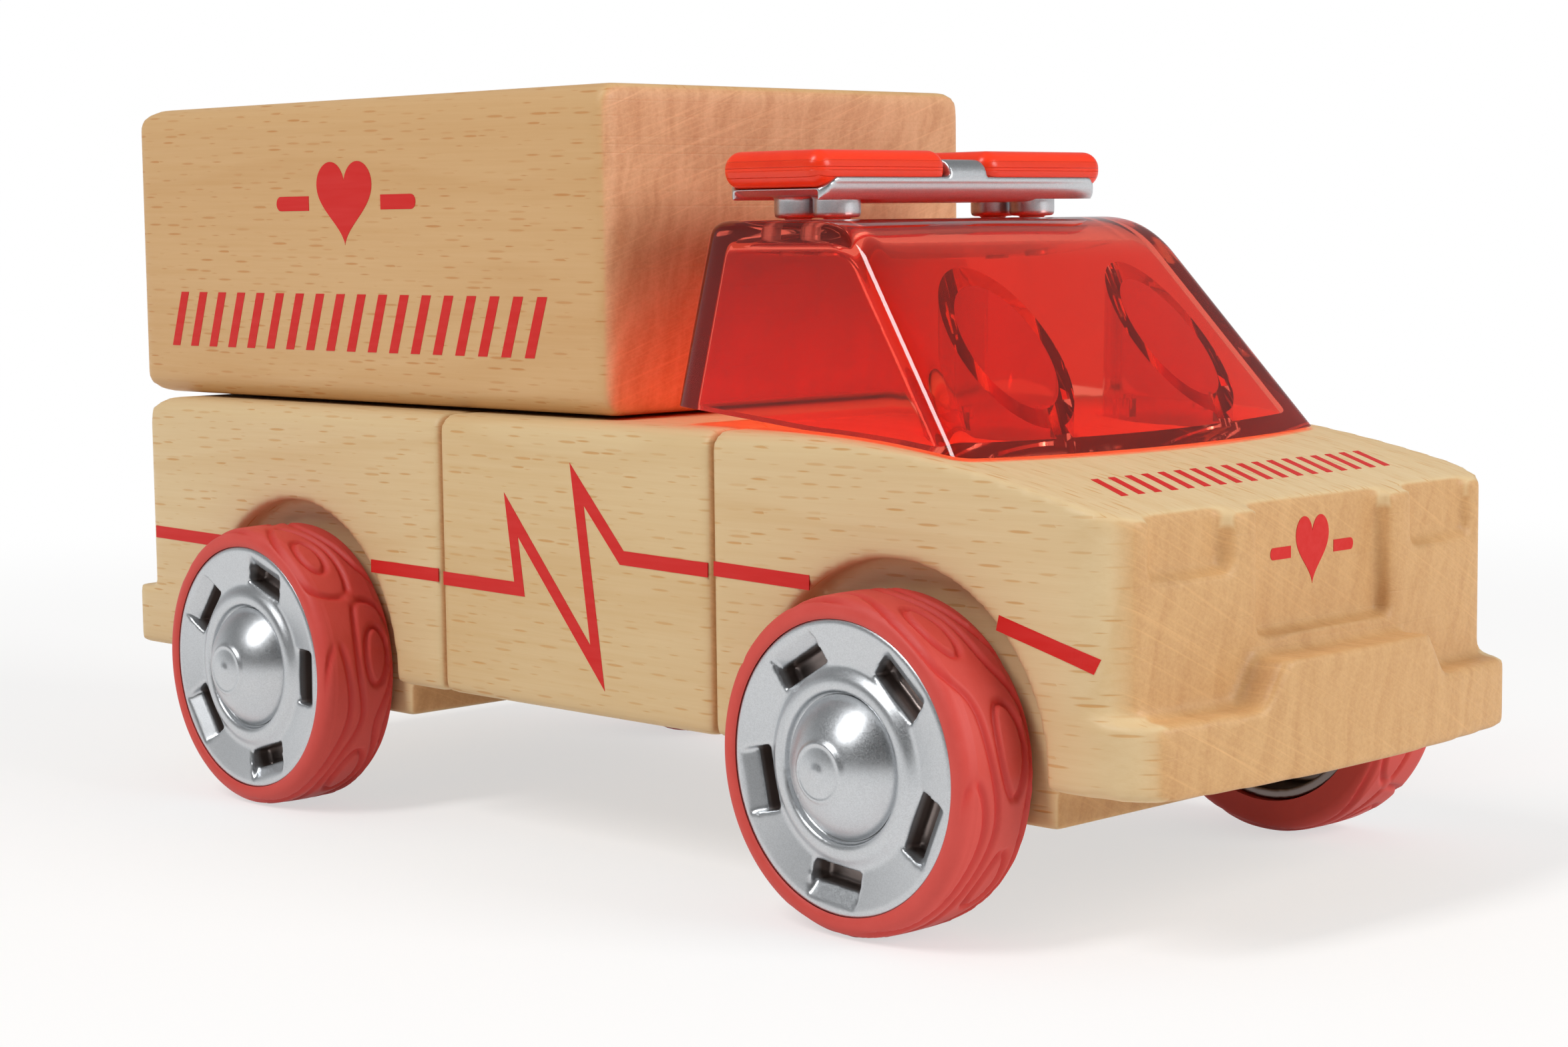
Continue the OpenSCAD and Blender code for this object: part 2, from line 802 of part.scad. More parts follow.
// Front outline of the tray's lips, which fall softly at both ends, grown for the lenses' notches
module lip_outline(grow) {
    end_y = bar_length / 2 - tray_inset + grow;
    top_y = end_y - lip_run;
    polygon(concat(
        [[-end_y, hull_z], [end_y, hull_z]],
        sway([end_y, tray_top_z + grow], [top_y, lip_top_z + grow]),
        sway([-top_y, lip_top_z + grow], [-end_y, tray_top_z + grow])));
}

// Lips along both long sides of the tray, or the notches that keep the lenses clear of them
module lip_pair(thickness, reach, grow) {
    half_depth = bar_depth / 2;
    lengthwise(bar_x + half_depth - thickness, bar_x + half_depth + reach)
        lip_outline(grow);
    lengthwise(bar_x - half_depth - reach, bar_x - half_depth + thickness)
        lip_outline(grow);
}

// Side outline of the tray: a flat band under the lips' tops, then a round hull
module hull_outline() {
    half_depth = bar_depth / 2;
    band_z = lip_top_z - lip_band;
    round = band_z - hull_z;
    centre = half_depth - lip_step - round;
    polygon(concat(
        [[bar_x + half_depth, lens_top_z], [bar_x - half_depth, lens_top_z], [bar_x - half_depth, band_z]],
        arc([bar_x - centre, band_z], round, 180, 270),
        arc([bar_x + centre, band_z], round, 270, 360),
        [[bar_x + half_depth, band_z]]));
}

// Front outline of the tray: thin ends and a deeper hull between the feet
module tray_outline() {
    half_length = bar_length / 2 - tray_inset;
    rise = hull_half + hull_run;
    polygon(concat(
        [[half_length, tray_top_z], [-half_length, tray_top_z], [-half_length + tray_slant, tray_z]],
        sway([-rise, tray_z], [-hull_half, hull_z]),
        sway([hull_half, hull_z], [rise, tray_z]),
        [[half_length - tray_slant, tray_z]]));
}

// Round feet of the light bar
module bar_feet() {
    for (side = [left, right], end = [-1, 1])
        translate([bar_x + end * foot_pair_spacing / 2, side * foot_spacing / 2, 0])
            rotate_extrude()
                rounded_rect([0, foot_z], [foot_radius, tray_z + tray_thickness / 2],
                    [0, foot_edge_radius, 0, 0]);
}

module light_bar_base() {
    half_depth = bar_depth / 2;
    half_length = bar_length / 2 - tray_inset;
    strap_z = lens_top_z - strap_drop;
    corner = [lens_corner_radius, lens_corner_radius, lens_corner_radius, lens_corner_radius];
    color(silver)
        union() {
            foot_set(canopy_top_z - canopy_wall - foot_peg_tail, tray_z, foot_peg_radius);
            bar_feet();
            intersection() {
                upright(hull_z - overrun, strap_z)
                    rounded_rect([bar_x - half_depth, -half_length], [bar_x + half_depth, half_length],
                        corner);
                across(bar_length)
                    hull_outline();
                union() {
                    lengthwise(bar_x - bar_depth, bar_x + bar_depth)
                        tray_outline();
                    lip_pair(lip_thickness, overrun, 0);
                    across(strap_width / 2)
                        rounded_rect([bar_x - half_depth, tray_z], [bar_x + half_depth, strap_z],
                            [0, 0, lens_edge_radius, lens_edge_radius]);
                }
            }
        }
}

// One lens of the light bar, cut clear of the tray's lips
module light_bar_lens(side) {
    half_depth = bar_depth / 2;
    inner = strap_width / 2 + lens_gap;
    outer = bar_length / 2;
    edge_radii = [lens_edge_radius / 2, lens_edge_radius / 2, lens_edge_radius, lens_edge_radius];
    color(lamp_red, 0.8)
        scale([1, side, 1])
            difference() {
                eased_block(
                    [bar_x - half_depth, inner, tray_top_z + lens_gap],
                    [bar_x + half_depth, outer, lens_top_z],
                    edge_radii,
                    [0, lens_edge_radius, lens_edge_radius, 0],
                    [0, 0, lens_corner_radius, lens_corner_radius]);
                lip_pair(lip_thickness + lens_gap, overrun, lens_gap);
            }
}

// Put a wheel piece, drawn along Z from the tyre's inner face, at its place
module at_wheel(axle_x, side) {
    translate([axle_x, side * wheel_inner_y, wheel_radius])
        rotate([-90 * side, 0, 0])
            children();
}

module tyre(axle_x, side) {
    color(rubber_red)
        at_wheel(axle_x, side)
            rotate_extrude()
                difference() {
                    rounded_rect([tyre_seat_radius, 0], [wheel_radius, tyre_width],
                        [0, shoulder_radius, shoulder_radius, 0]);
                    rounded_rect([0, tyre_width - rim_lip_depth - rim_lip - glue_gap],
                        [rim_radius + glue_gap, tyre_width + overrun], [0, 0, 0, 0]);
                }
}

module rim(axle_x, side, turn) {
    face_z = tyre_width - rim_lip_depth;
    face_back_z = face_z - rim_face;
    seat_z = face_z - cap_seat_depth;
    lip_z = face_z - rim_lip;
    color(silver)
        at_wheel(axle_x, side)
            difference() {
                rotate_extrude()
                    polygon(concat(
                        [
                            [axle_radius + glue_gap, barrel_inset],
                            [hub_radius, barrel_inset],
                            [hub_radius, face_back_z],
                            [barrel_radius - barrel_wall, face_back_z],
                            [barrel_radius - barrel_wall, barrel_inset],
                            [barrel_radius, barrel_inset],
                            [barrel_radius, lip_z],
                            [rim_radius, lip_z]
                        ],
                        arc([rim_radius - rim_edge, face_z - rim_edge], rim_edge, 0, 90),
                        sway([ring_radius + ring_flank, face_z - ring_height], [ring_radius, face_z]),
                        arc([ring_radius - ring_width + crest_radius, face_z - crest_radius], crest_radius,
                            90, 180),
                        [
                            [ring_radius - ring_width, seat_z],
                            [axle_radius + glue_gap, seat_z]
                        ]));
                for (i = [0 : rim_slots - 1])
                    rotate(-side * (turn + 360 * i / rim_slots))
                        rim_slot(face_z);
            }
}

// One slot of the rim: a sloping floor that ends in a deep pocket beside the ring
module rim_slot(face_z) {
    rotate([90, 0, 0])
        linear_extrude(slot_length, center = true)
            polygon([
                [slot_inner_radius, face_z - slot_pocket_depth],
                [slot_inner_radius + slot_pocket, face_z - slot_pocket_depth],
                [slot_inner_radius + slot_pocket, face_z - slot_depth],
                [slot_outer_radius, face_z],
                [slot_outer_radius, face_z + overrun],
                [slot_inner_radius, face_z + overrun]
            ]);
}

module hub_cap(axle_x, side) {
    seat_z = tyre_width - rim_lip_depth - cap_seat_depth;
    brim_z = seat_z + cap_seat_depth;
    dome = hub_cap_height + cap_edge_drop;
    dome_radius = (pow(hub_cap_radius, 2) + pow(dome, 2)) / (2 * dome);
    half_angle = asin(hub_cap_radius / dome_radius);
    color(silver)
        at_wheel(axle_x, side)
            rotate_extrude()
                polygon(concat(
                    [[0, seat_z - spigot_length], [axle_radius, seat_z - spigot_length],
                        [axle_radius, seat_z + glue_gap], [hub_cap_radius, seat_z + glue_gap]],
                    arc([0, brim_z + hub_cap_height - dome_radius], dome_radius,
                        90 - half_angle, 90)));
}

module axle(axle_x, side) {
    tip_y = wheel_inner_y + tyre_width - rim_lip_depth - cap_seat_depth - spigot_length - axle_end_play;
    color(steel)
        union() {
            side_cylinder(axle_x, wheel_radius, axle_radius, axle_head_y - axle_head_length, tip_y, side);
            side_cylinder(axle_x, wheel_radius, axle_head_radius, axle_head_y - axle_head_length,
                axle_head_y, side);
        }
}

module bush(axle_x, side) {
    color(connector_grey)
        difference() {
            union() {
                side_cylinder(axle_x, wheel_radius, bush_radius, bush_inner_y, arch_floor_y, side);
                side_cylinder(axle_x, wheel_radius, bush_flange_radius, arch_floor_y,
                    arch_floor_y + bush_flange, side);
            }
            side_cylinder(axle_x, wheel_radius, bush_bore_radius, bush_inner_y - overrun,
                arch_floor_y + bush_flange + overrun, side);
        }
}

rear_block();
middle_block();
front_block();
cargo_box();
box_dowels();
plug(rear_seam_x, 1);  // rear_plug
socket(middle_rear_x, -1);  // rear_socket
plug(front_seam_x, -1);  // front_plug
socket(middle_front_x, 1);  // front_socket
canopy();
light_bar_base();
light_bar_lens(left);  // light_bar_lens_left
light_bar_lens(right);  // light_bar_lens_right
tyre(front_axle_x, left);  // tyre_front_left
tyre(front_axle_x, right);  // tyre_front_right
tyre(rear_axle_x, left);  // tyre_rear_left
tyre(rear_axle_x, right);  // tyre_rear_right
rim(front_axle_x, left, front_slot_turn);  // rim_front_left
rim(front_axle_x, right, front_slot_turn);  // rim_front_right
rim(rear_axle_x, left, rear_slot_turn);  // rim_rear_left
rim(rear_axle_x, right, rear_slot_turn);  // rim_rear_right
hub_cap(front_axle_x, left);  // hub_cap_front_left
hub_cap(front_axle_x, right);  // hub_cap_front_right
hub_cap(rear_axle_x, left);  // hub_cap_rear_left
hub_cap(rear_axle_x, right);  // hub_cap_rear_right
axle(front_axle_x, left);  // axle_front_left
axle(front_axle_x, right);  // axle_front_right
axle(rear_axle_x, left);  // axle_rear_left
axle(rear_axle_x, right);  // axle_rear_right
bush(front_axle_x, left);  // bush_front_left
bush(front_axle_x, right);  // bush_front_right
bush(rear_axle_x, left);  // bush_rear_left
bush(rear_axle_x, right);  // bush_rear_right
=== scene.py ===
import math

import bmesh
import bpy
import numpy as np
from bpy.props import FloatProperty, FloatVectorProperty, IntProperty, PointerProperty
from bpy.types import Operator, Panel, PropertyGroup
from mathutils import Matrix, Vector


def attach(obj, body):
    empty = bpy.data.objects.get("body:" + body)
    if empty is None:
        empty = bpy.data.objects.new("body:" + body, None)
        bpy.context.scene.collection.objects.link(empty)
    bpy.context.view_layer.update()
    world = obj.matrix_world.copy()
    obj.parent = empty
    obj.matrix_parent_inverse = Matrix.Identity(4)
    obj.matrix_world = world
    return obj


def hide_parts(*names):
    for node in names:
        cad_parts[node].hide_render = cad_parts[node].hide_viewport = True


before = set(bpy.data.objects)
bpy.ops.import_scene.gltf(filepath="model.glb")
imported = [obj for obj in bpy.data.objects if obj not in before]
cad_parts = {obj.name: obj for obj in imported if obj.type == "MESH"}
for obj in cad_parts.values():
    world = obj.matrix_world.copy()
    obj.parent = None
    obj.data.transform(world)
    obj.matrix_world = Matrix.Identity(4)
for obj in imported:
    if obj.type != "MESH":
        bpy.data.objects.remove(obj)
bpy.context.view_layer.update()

bl_info = {
    "name": "Wooden toy ambulance",
    "version": (1, 0, 0),
    "blender": (4, 5, 0),
    "location": "3D View > Sidebar > Ambulance",
    "description": "Dresses the solids of a wooden toy ambulance and sets up its studio",
    "category": "Object",
}

# Millimetres in a metre, and a millimetre in metres.
METRE = 1000
MM = 0.001
# Points of a mesh that are closer than this, in metres, become one.
MERGE = 0.000002

# Sizes of the solids in millimetres, repeated from the part's source.
BODY_HALF = 21.8
BODY_TOP = 32.95
REAR_FACE = -55.15
REAR_SEAM = -13.25
MIDDLE_REAR = -13.1
MIDDLE_FRONT = 17.9
FRONT_SEAM = 18.05
FRONT_FACE = 55.65
RECESS = 1.4
FRONT_CORNER = 4.9
HOOD_START = 22.35
HOOD_RADIUS = 125.0
BOX_HALF = 19.8
WHEEL_RADIUS = 11.55
WHEEL_INNER = 20.0
TYRE_WIDTH = 7.1
ARCH_RADIUS = 13.5
AXLES = {"front": 35.65, "rear": -32.95}
SIDES = {"left": 1, "right": -1}
WHEELS = [(end, side, end + "_" + side) for end in AXLES for side in SIDES]
# The canopy in millimetres and degrees, also from the source, apart from the radii of its edges: edge,
# back_edge, pillar, back_pillar and fillet are this scene's own.
CANOPY = dict(rear=11.45, foot=41.25, top=47.75, half=19.8, lean=40.6, bow=113.0, side=12.4, rear_lean=3.0,
              curve=8.0, edge=0.9, back_edge=1.2, pillar=1.4, fillet=1.5, back_pillar=1.7, lift=1.5, gap=0.25,
              post_x=34.15, post_y=9.0, post_radius=4.7, post_wall=1.1, post_foot=26.95)

# Prints in millimetres: how far they stand out of the wood and reach into it, and how far they stop short
# of a seam or an arch. Then the middle of the heart on the box, along and up, and the height of the one on
# the grille, with its scale across and up.
PRINT_FILM = 0.03
PRINT_ROOT = 0.06
PRINT_MARGIN = 0.25
BOX_HEART = (-27.4, 49.6)
GRILLE_HEART = 25.2
GRILLE_HEART_SCALE = (0.5, 0.68)

# The camera, solved from the photograph's straight edges: angles in degrees, its place in millimetres,
# and its focal length in pixels of the photograph's width.
CAMERA_ANGLES = (45.5, 5.807, -0.682)
CAMERA_PLACE = (171.06, -164.86, 47.56)
FOCAL_LENGTH = 4430.5
PHOTO_WIDTH = 2349
SENSOR = 36.0


def linear(code):
    """Linear colour of an sRGB hex value."""
    parts = [int(code[i:i + 2], 16) / 255 for i in (1, 3, 5)]
    return tuple(p / 12.92 if p <= 0.04045 else ((p + 0.055) / 1.055) ** 2.4 for p in parts) + (1.0,)


def length_setting(name, description, default, low, high):
    """A length in metres that a user may change."""
    return FloatProperty(name=name, description=description, default=default, min=low, max=high,
                         unit="LENGTH", precision=5)


def colour_setting(name, description, code):
    """A colour that a user may change, from its sRGB hex value."""
    return FloatVectorProperty(name=name, description=description, default=linear(code), min=0, max=1,
                               subtype="COLOR", size=4)


class AmbulanceSizes(PropertyGroup):
    """Sizes that a user would change."""

    ring_spacing: length_setting(
        "Ring spacing", "Distance between two growth rings of the beech", 0.0029, 0.001, 0.006)
    fleck_length: length_setting(
        "Fleck length", "Length of the brown ray flecks along the grain", 0.0021, 0.0008, 0.005)
    sanding: length_setting(
        "Sanding step", "Mesh step of the sanded blocks, which sets how soft their edges are",
        0.0004, 0.0003, 0.001)
    sanding_passes: IntProperty(
        name="Sanding passes", description="How often the sanded edges are smoothed",
        default=4, min=1, max=12)
    stripe_width: length_setting(
        "Stripe width", "Width of the printed pulse line", 0.00105, 0.0005, 0.002)
    groove_depth: length_setting(
        "Tread depth", "Depth of the wood-figure lines in the tread", 0.00027, 0.00005, 0.0004)
    canopy_wall: length_setting(
        "Canopy wall", "Thickness of the clear canopy", 0.0017, 0.001, 0.0025)


class AmbulanceColours(PropertyGroup):
    """Colours that a user would change."""

    beech: colour_setting("Beech", "Pale wood between the rings", "#E6CC9F")
    beech_ring: colour_setting("Beech ring", "Darker wood at the end of a year's growth", "#D5B07A")
    beech_fleck: colour_setting("Beech fleck", "Ray flecks in the long grain", "#CE9550")
    beech_end: colour_setting("Beech end grain", "Wood where it is sawn across the grain", "#DDAF7C")
    print_red: colour_setting("Print", "Pad-printed red ink", "#D01F1A")
    canopy_red: colour_setting("Canopy", "Clear red plastic", "#EC6450")
    lamp_red: colour_setting("Lamp", "Orange-red lamp plastic", "#FA3C18")
    silver: colour_setting("Silver", "Silver metallic paint", "#D3D6D9")
    rubber: colour_setting("Rubber", "Red tyre rubber", "#D0443A")
    nylon: colour_setting("Nylon", "Grey moulded connectors and bushes", "#5A5E62")
    steel: colour_setting("Steel", "Drawn steel of the axles", "#B9BCC0")


def sizes():
    return bpy.context.scene.ambulance_sizes


def colours():
    return bpy.context.scene.ambulance_colours


# The inputs of a Mix are 0, its factor, then 2 and 3, its numbers, or 6 and 7, its colours. Those of a Map
# Range are its value, the lowest and highest that it takes, and the two numbers that it gives for them.
def node(tree, kind, inputs=(), **settings):
    """Adds a node, sets its settings, and links or sets its inputs, which are given by name or number, or
    as a row in their own order. A node among them stands for its first output in use."""
    made = tree.nodes.new(kind)
    for name, value in settings.items():
        setattr(made, name, value)
    for name, value in inputs.items() if isinstance(inputs, dict) else enumerate(inputs):
        if isinstance(value, bpy.types.Node):
            value = next(socket for socket in value.outputs if socket.enabled)
        if isinstance(value, bpy.types.NodeSocket):
            tree.links.new(value, made.inputs[name])
        else:
            made.inputs[name].default_value = value
    return made


def start_material(name):
    """A new material, its empty tree, and its coordinates."""
    material = bpy.data.materials.new(name)
    material.use_nodes = True
    tree = material.node_tree
    tree.nodes.clear()
    return material, tree, node(tree, "ShaderNodeTexCoord").outputs


def grain(tree, place, lump, detail, roughness=0.5):
    """A figure of soft lumps whose size along X, Y and Z is given in the units of the place."""
    sized = node(tree, "ShaderNodeMapping", {"Vector": place, "Scale": [1 / side for side in lump]})
    return node(tree, "ShaderNodeTexNoise", {
        "Vector": sized, "Scale": 1.0, "Detail": detail, "Roughness": roughness})


def toned(colour, tone, lift=0.0):
    """A colour made darker or lighter, each channel by its own share, and no brighter than white."""
    return [min(1, c * t + lift) for c, t in zip(colour, tone)] + [1]


def oiled_beech(name, pith, turn, tone, end_tone, saw, figure):
    """Oiled beech, sanded: pale straw with faint rings, short brown ray flecks along X, and warmer
    end grain with rings, mottled bands, open pores and fine saw marks."""
    material, tree, place = start_material(name)
    size, colour = sizes(), colours()
    pale, dark, brown = (toned(c, tone) for c in (colour.beech, colour.beech_ring, colour.beech_fleck))
    sawn = toned(colour.beech_end, end_tone)
    mm = node(tree, "ShaderNodeMapping", {
        "Vector": place["Object"], "Scale": (METRE, METRE, METRE),
        "Rotation": turn, "Location": (0, -pith[0], -pith[1])})
    # Rings about the pith wander by up to 2 mm, every 40 mm along the grain and every 9 mm across it.
    wander = grain(tree, mm, (40, 9, 9), 2.0)
    offset = node(tree, "ShaderNodeVectorMath", (wander.outputs["Color"], (0.5, 0.5, 0.5)),
                  operation="SUBTRACT")
    across = node(tree, "ShaderNodeVectorMath", (offset, (0, 4.2, 4.2)), operation="MULTIPLY")
    bent = node(tree, "ShaderNodeVectorMath", (mm, across), operation="ADD")
    flat = node(tree, "ShaderNodeVectorMath", (bent, (0, 1, 1)), operation="MULTIPLY")
    radius = node(tree, "ShaderNodeVectorMath", (flat,), operation="LENGTH")
    count = node(tree, "ShaderNodeMath", (radius, size.ring_spacing * METRE), operation="DIVIDE")
    year = node(tree, "ShaderNodeMath", (count,), operation="FRACT")
    ring = node(tree, "ShaderNodeValToRGB", (year,))
    ring.color_ramp.interpolation = "EASE"
    stops = ring.color_ramp.elements
    for position in (0.55, 0.9):
        stops.new(position)
    for stop, value in zip(stops, (0.1, 0.22, 1.0, 0.12)):
        stop.color = (value, value, value, 1)
    # Fibres about 0.45 mm wide and 20 mm long, and the plank's broad tone, 14 mm wide and 70 mm long.
    fibre = grain(tree, mm, (20, 0.45, 0.45), 4.0, 0.62)
    broad = grain(tree, mm, (70, 14, 14), 1.0)
    # Ray flecks: one lens-shaped dash to a cell, laid out flat on the sides and on the top.
    facing = node(tree, "ShaderNodeSeparateXYZ", (place["Normal"],)).outputs
    upward = node(tree, "ShaderNodeMath", (facing["Z"],), operation="ABSOLUTE")
    top = node(tree, "ShaderNodeMath", (upward, 0.7), operation="GREATER_THAN")
    along = node(tree, "ShaderNodeSeparateXYZ", (mm,)).outputs
    height = node(tree, "ShaderNodeMix", {0: top, 2: along["Z"], 3: along["Y"]}, data_type="FLOAT")
    sheet = node(tree, "ShaderNodeCombineXYZ", (along["X"], height))
    long = size.fleck_length * METRE
    grid = node(tree, "ShaderNodeMapping", {"Vector": sheet, "Scale": (1 / (1.25 * long), 1 / 0.78, 1)})
    cell = node(tree, "ShaderNodeTexVoronoi", {"Vector": grid, "Scale": 1.0, "Randomness": 1.0},
                feature="F1", voronoi_dimensions="2D").outputs
    chance = node(tree, "ShaderNodeSeparateColor", (cell["Color"],)).outputs
    away = node(tree, "ShaderNodeVectorMath", (grid, cell["Position"]), operation="SUBTRACT")
    shape = node(tree, "ShaderNodeVectorMath", (away, (2.6, 8.0, 0)), operation="MULTIPLY")
    spread = node(tree, "ShaderNodeVectorMath", (shape,), operation="LENGTH")
    reach = node(tree, "ShaderNodeMapRange", (chance["Red"], 0.0, 1.0, 0.35, 1.25))
    inside = node(tree, "ShaderNodeMath", (reach, spread), operation="SUBTRACT")
    dash = node(tree, "ShaderNodeMath", (inside, 2.2), operation="MULTIPLY", use_clamp=True)
    strength = node(tree, "ShaderNodeMapRange", (chance["Green"], 0.0, 1.0, 0.08, 0.78))
    fleck = node(tree, "ShaderNodeMath", (dash, strength), operation="MULTIPLY")
    # Long grain: pale wood, rings and fibres, then flecks.
    shade = node(tree, "ShaderNodeMapRange", (fibre, 0.3, 0.72, 0.0, 0.26))
    wide = node(tree, "ShaderNodeMapRange", (broad, 0.3, 0.7, 0.0, 0.34))
    mixed = node(tree, "ShaderNodeMath", (shade, wide), operation="ADD")
    faint = node(tree, "ShaderNodeMath", (ring, 0.22, mixed), operation="MULTIPLY_ADD", use_clamp=True)
    plank = node(tree, "ShaderNodeMix", {0: faint, 6: pale, 7: dark}, data_type="RGBA")
    plank = node(tree, "ShaderNodeMix", {0: fleck, 6: plank, 7: brown}, data_type="RGBA")
    # End grain: rings, mottled bands about 1.3 mm wide, and pores, drawn at 0.3 mm so that they show.
    pores = node(tree, "ShaderNodeTexNoise", {"Vector": mm, "Scale": 3.4, "Detail": 3.0, "Roughness": 0.75})
    pits = node(tree, "ShaderNodeMapRange", (pores, 0.36, 0.7, 0.0, 0.34))
    band_turn = node(tree, "ShaderNodeMapping", {"Vector": bent, "Rotation": (0.2, 0, 0)})
    band = grain(tree, band_turn, (30, 1.3, 5), 2.0)
    mottle = node(tree, "ShaderNodeMapRange", (band, 0.36, 0.64, 0.0, figure))
    spots = node(tree, "ShaderNodeMath", (mottle, pits), operation="ADD")
    rings = node(tree, "ShaderNodeMath", (ring, 0.14, spots), operation="MULTIPLY_ADD", use_clamp=True)
    deep = toned(sawn, (0.72, 0.58, 0.46))
    cut = node(tree, "ShaderNodeMix", {0: rings, 6: sawn, 7: deep}, data_type="RGBA")
    # Saw marks: pale lines 34 mm long, 0.16 and 0.3 mm wide, at nearly one angle.
    marks = []
    for angle, width in ((saw, 0.16), (saw + 0.06, 0.3)):
        lines_turn = node(tree, "ShaderNodeMapping", {"Vector": mm, "Rotation": (angle, 0, 0)})
        lines = grain(tree, lines_turn, (30, 34, width), 2.0, 0.6)
        marks.append(node(tree, "ShaderNodeMapRange", (lines, 0.55, 0.74, 0.0, 0.3)))
    scratch = node(tree, "ShaderNodeMath", marks, operation="ADD")
    bright = toned(sawn, (1.22, 1.22, 1.22))
    cut = node(tree, "ShaderNodeMix", {0: scratch, 6: cut, 7: bright}, data_type="RGBA")
    # The ends show end grain, and so do walls that are marked as cut into it.
    straight = node(tree, "ShaderNodeMath", (facing["X"],), operation="ABSOLUTE")
    end = node(tree, "ShaderNodeMapRange", (straight, 0.55, 0.9, 0.0, 1.0), interpolation_type="SMOOTHSTEP")
    walls = node(tree, "ShaderNodeAttribute", attribute_name="cut").outputs["Fac"]
    sawn_off = node(tree, "ShaderNodeMath", (end, walls), operation="MAXIMUM")
    wood = node(tree, "ShaderNodeMix", {0: sawn_off, 6: plank, 7: cut}, data_type="RGBA")
    gloss = node(tree, "ShaderNodeMapRange", (fibre, 0.3, 0.7, 0.44, 0.58))
    relief = node(tree, "ShaderNodeMath", (fibre, fleck), operation="SUBTRACT")
    bump = node(tree, "ShaderNodeBump", {"Height": relief, "Strength": 0.35, "Distance": 0.06 * MM})
    shader = node(tree, "ShaderNodeBsdfPrincipled", {
        "Base Color": wood, "Roughness": gloss, "Normal": bump, "Specular IOR Level": 0.42})
    node(tree, "ShaderNodeOutputMaterial", {"Surface": shader})
    return material


def pad_print(name):
    """Pad-printed ink on wood: an even, slightly satin red film that thins a little over the fibres."""
    material, tree, place = start_material(name)
    # Thin places are about 6 mm long and 0.5 mm wide.
    fibre = grain(tree, place["Object"], (6 * MM, 0.5 * MM, 0.5 * MM), 3.0)
    thinning_and_pocket_shade = node(tree, "ShaderNodeMapRange", (fibre, 0.35, 0.75, 0.0, 0.22))
    ink = colours().print_red
    worn = toned(ink, (1.1, 1.1, 1.1), 0.05)
    colour = node(tree, "ShaderNodeMix", {0: thinning_and_pocket_shade, 6: ink, 7: worn}, data_type="RGBA")
    shader = node(tree, "ShaderNodeBsdfPrincipled", {
        "Base Color": colour, "Roughness": 0.48, "Specular IOR Level": 0.25})
    node(tree, "ShaderNodeOutputMaterial", {"Surface": shader})
    return material


def clear_red(name):
    """Clear red polycarbonate, injection moulded and polished: one tint through and through, sharp
    highlights, and edges that darken because more plastic lies in the way."""
    material, tree, place = start_material(name)
    red = colours().canopy_red
    # Moulding haze and hand marks, some 3 mm wide.
    haze = node(tree, "ShaderNodeTexNoise", {
        "Vector": place["Object"], "Scale": 330.0, "Detail": 4.0, "Roughness": 0.6})
    rough = node(tree, "ShaderNodeMapRange", (haze, 0.35, 0.75, 0.02, 0.07))
    shader = node(tree, "ShaderNodeBsdfPrincipled", {
        "Base Color": red, "Roughness": rough, "Transmission Weight": 0.95, "IOR": 1.5,
        "Specular IOR Level": 0.42})
    # Lamps shine through the thin walls and cast red light on the wood.
    path = node(tree, "ShaderNodeLightPath").outputs
    tint = node(tree, "ShaderNodeBsdfTransparent", {"Color": [c ** 0.45 for c in red[:3]] + [1]})
    both = node(tree, "ShaderNodeMixShader", (path["Is Shadow Ray"], shader, tint))
    node(tree, "ShaderNodeOutputMaterial", {"Surface": both})
    return material


def lamp_red(name):
    """Orange-red lamp acrylic: cloudy, so that it glows where light comes through, with a glossy skin."""
    material, tree, place = start_material(name)
    # Flow streaks along the bar, about 1 mm wide and 9 mm long.
    streak = grain(tree, place["Object"], (1.6 * MM, 9 * MM, 0.9 * MM), 2.0)
    share = node(tree, "ShaderNodeMapRange", (streak, 0.4, 0.75, 0.0, 0.4))
    tint = colours().lamp_red
    deep = toned(tint, (0.88, 0.45, 0.5))
    colour = node(tree, "ShaderNodeMix", {0: share, 6: tint, 7: deep}, data_type="RGBA")
    shader = node(tree, "ShaderNodeBsdfPrincipled", {
        "Base Color": colour, "Roughness": 0.3, "IOR": 1.49, "Specular IOR Level": 0.4,
        "Subsurface Weight": 0.15, "Subsurface Radius": (1.0, 0.22, 0.1), "Subsurface Scale": 0.6 * MM})
    node(tree, "ShaderNodeOutputMaterial", {"Surface": shader})
    return material


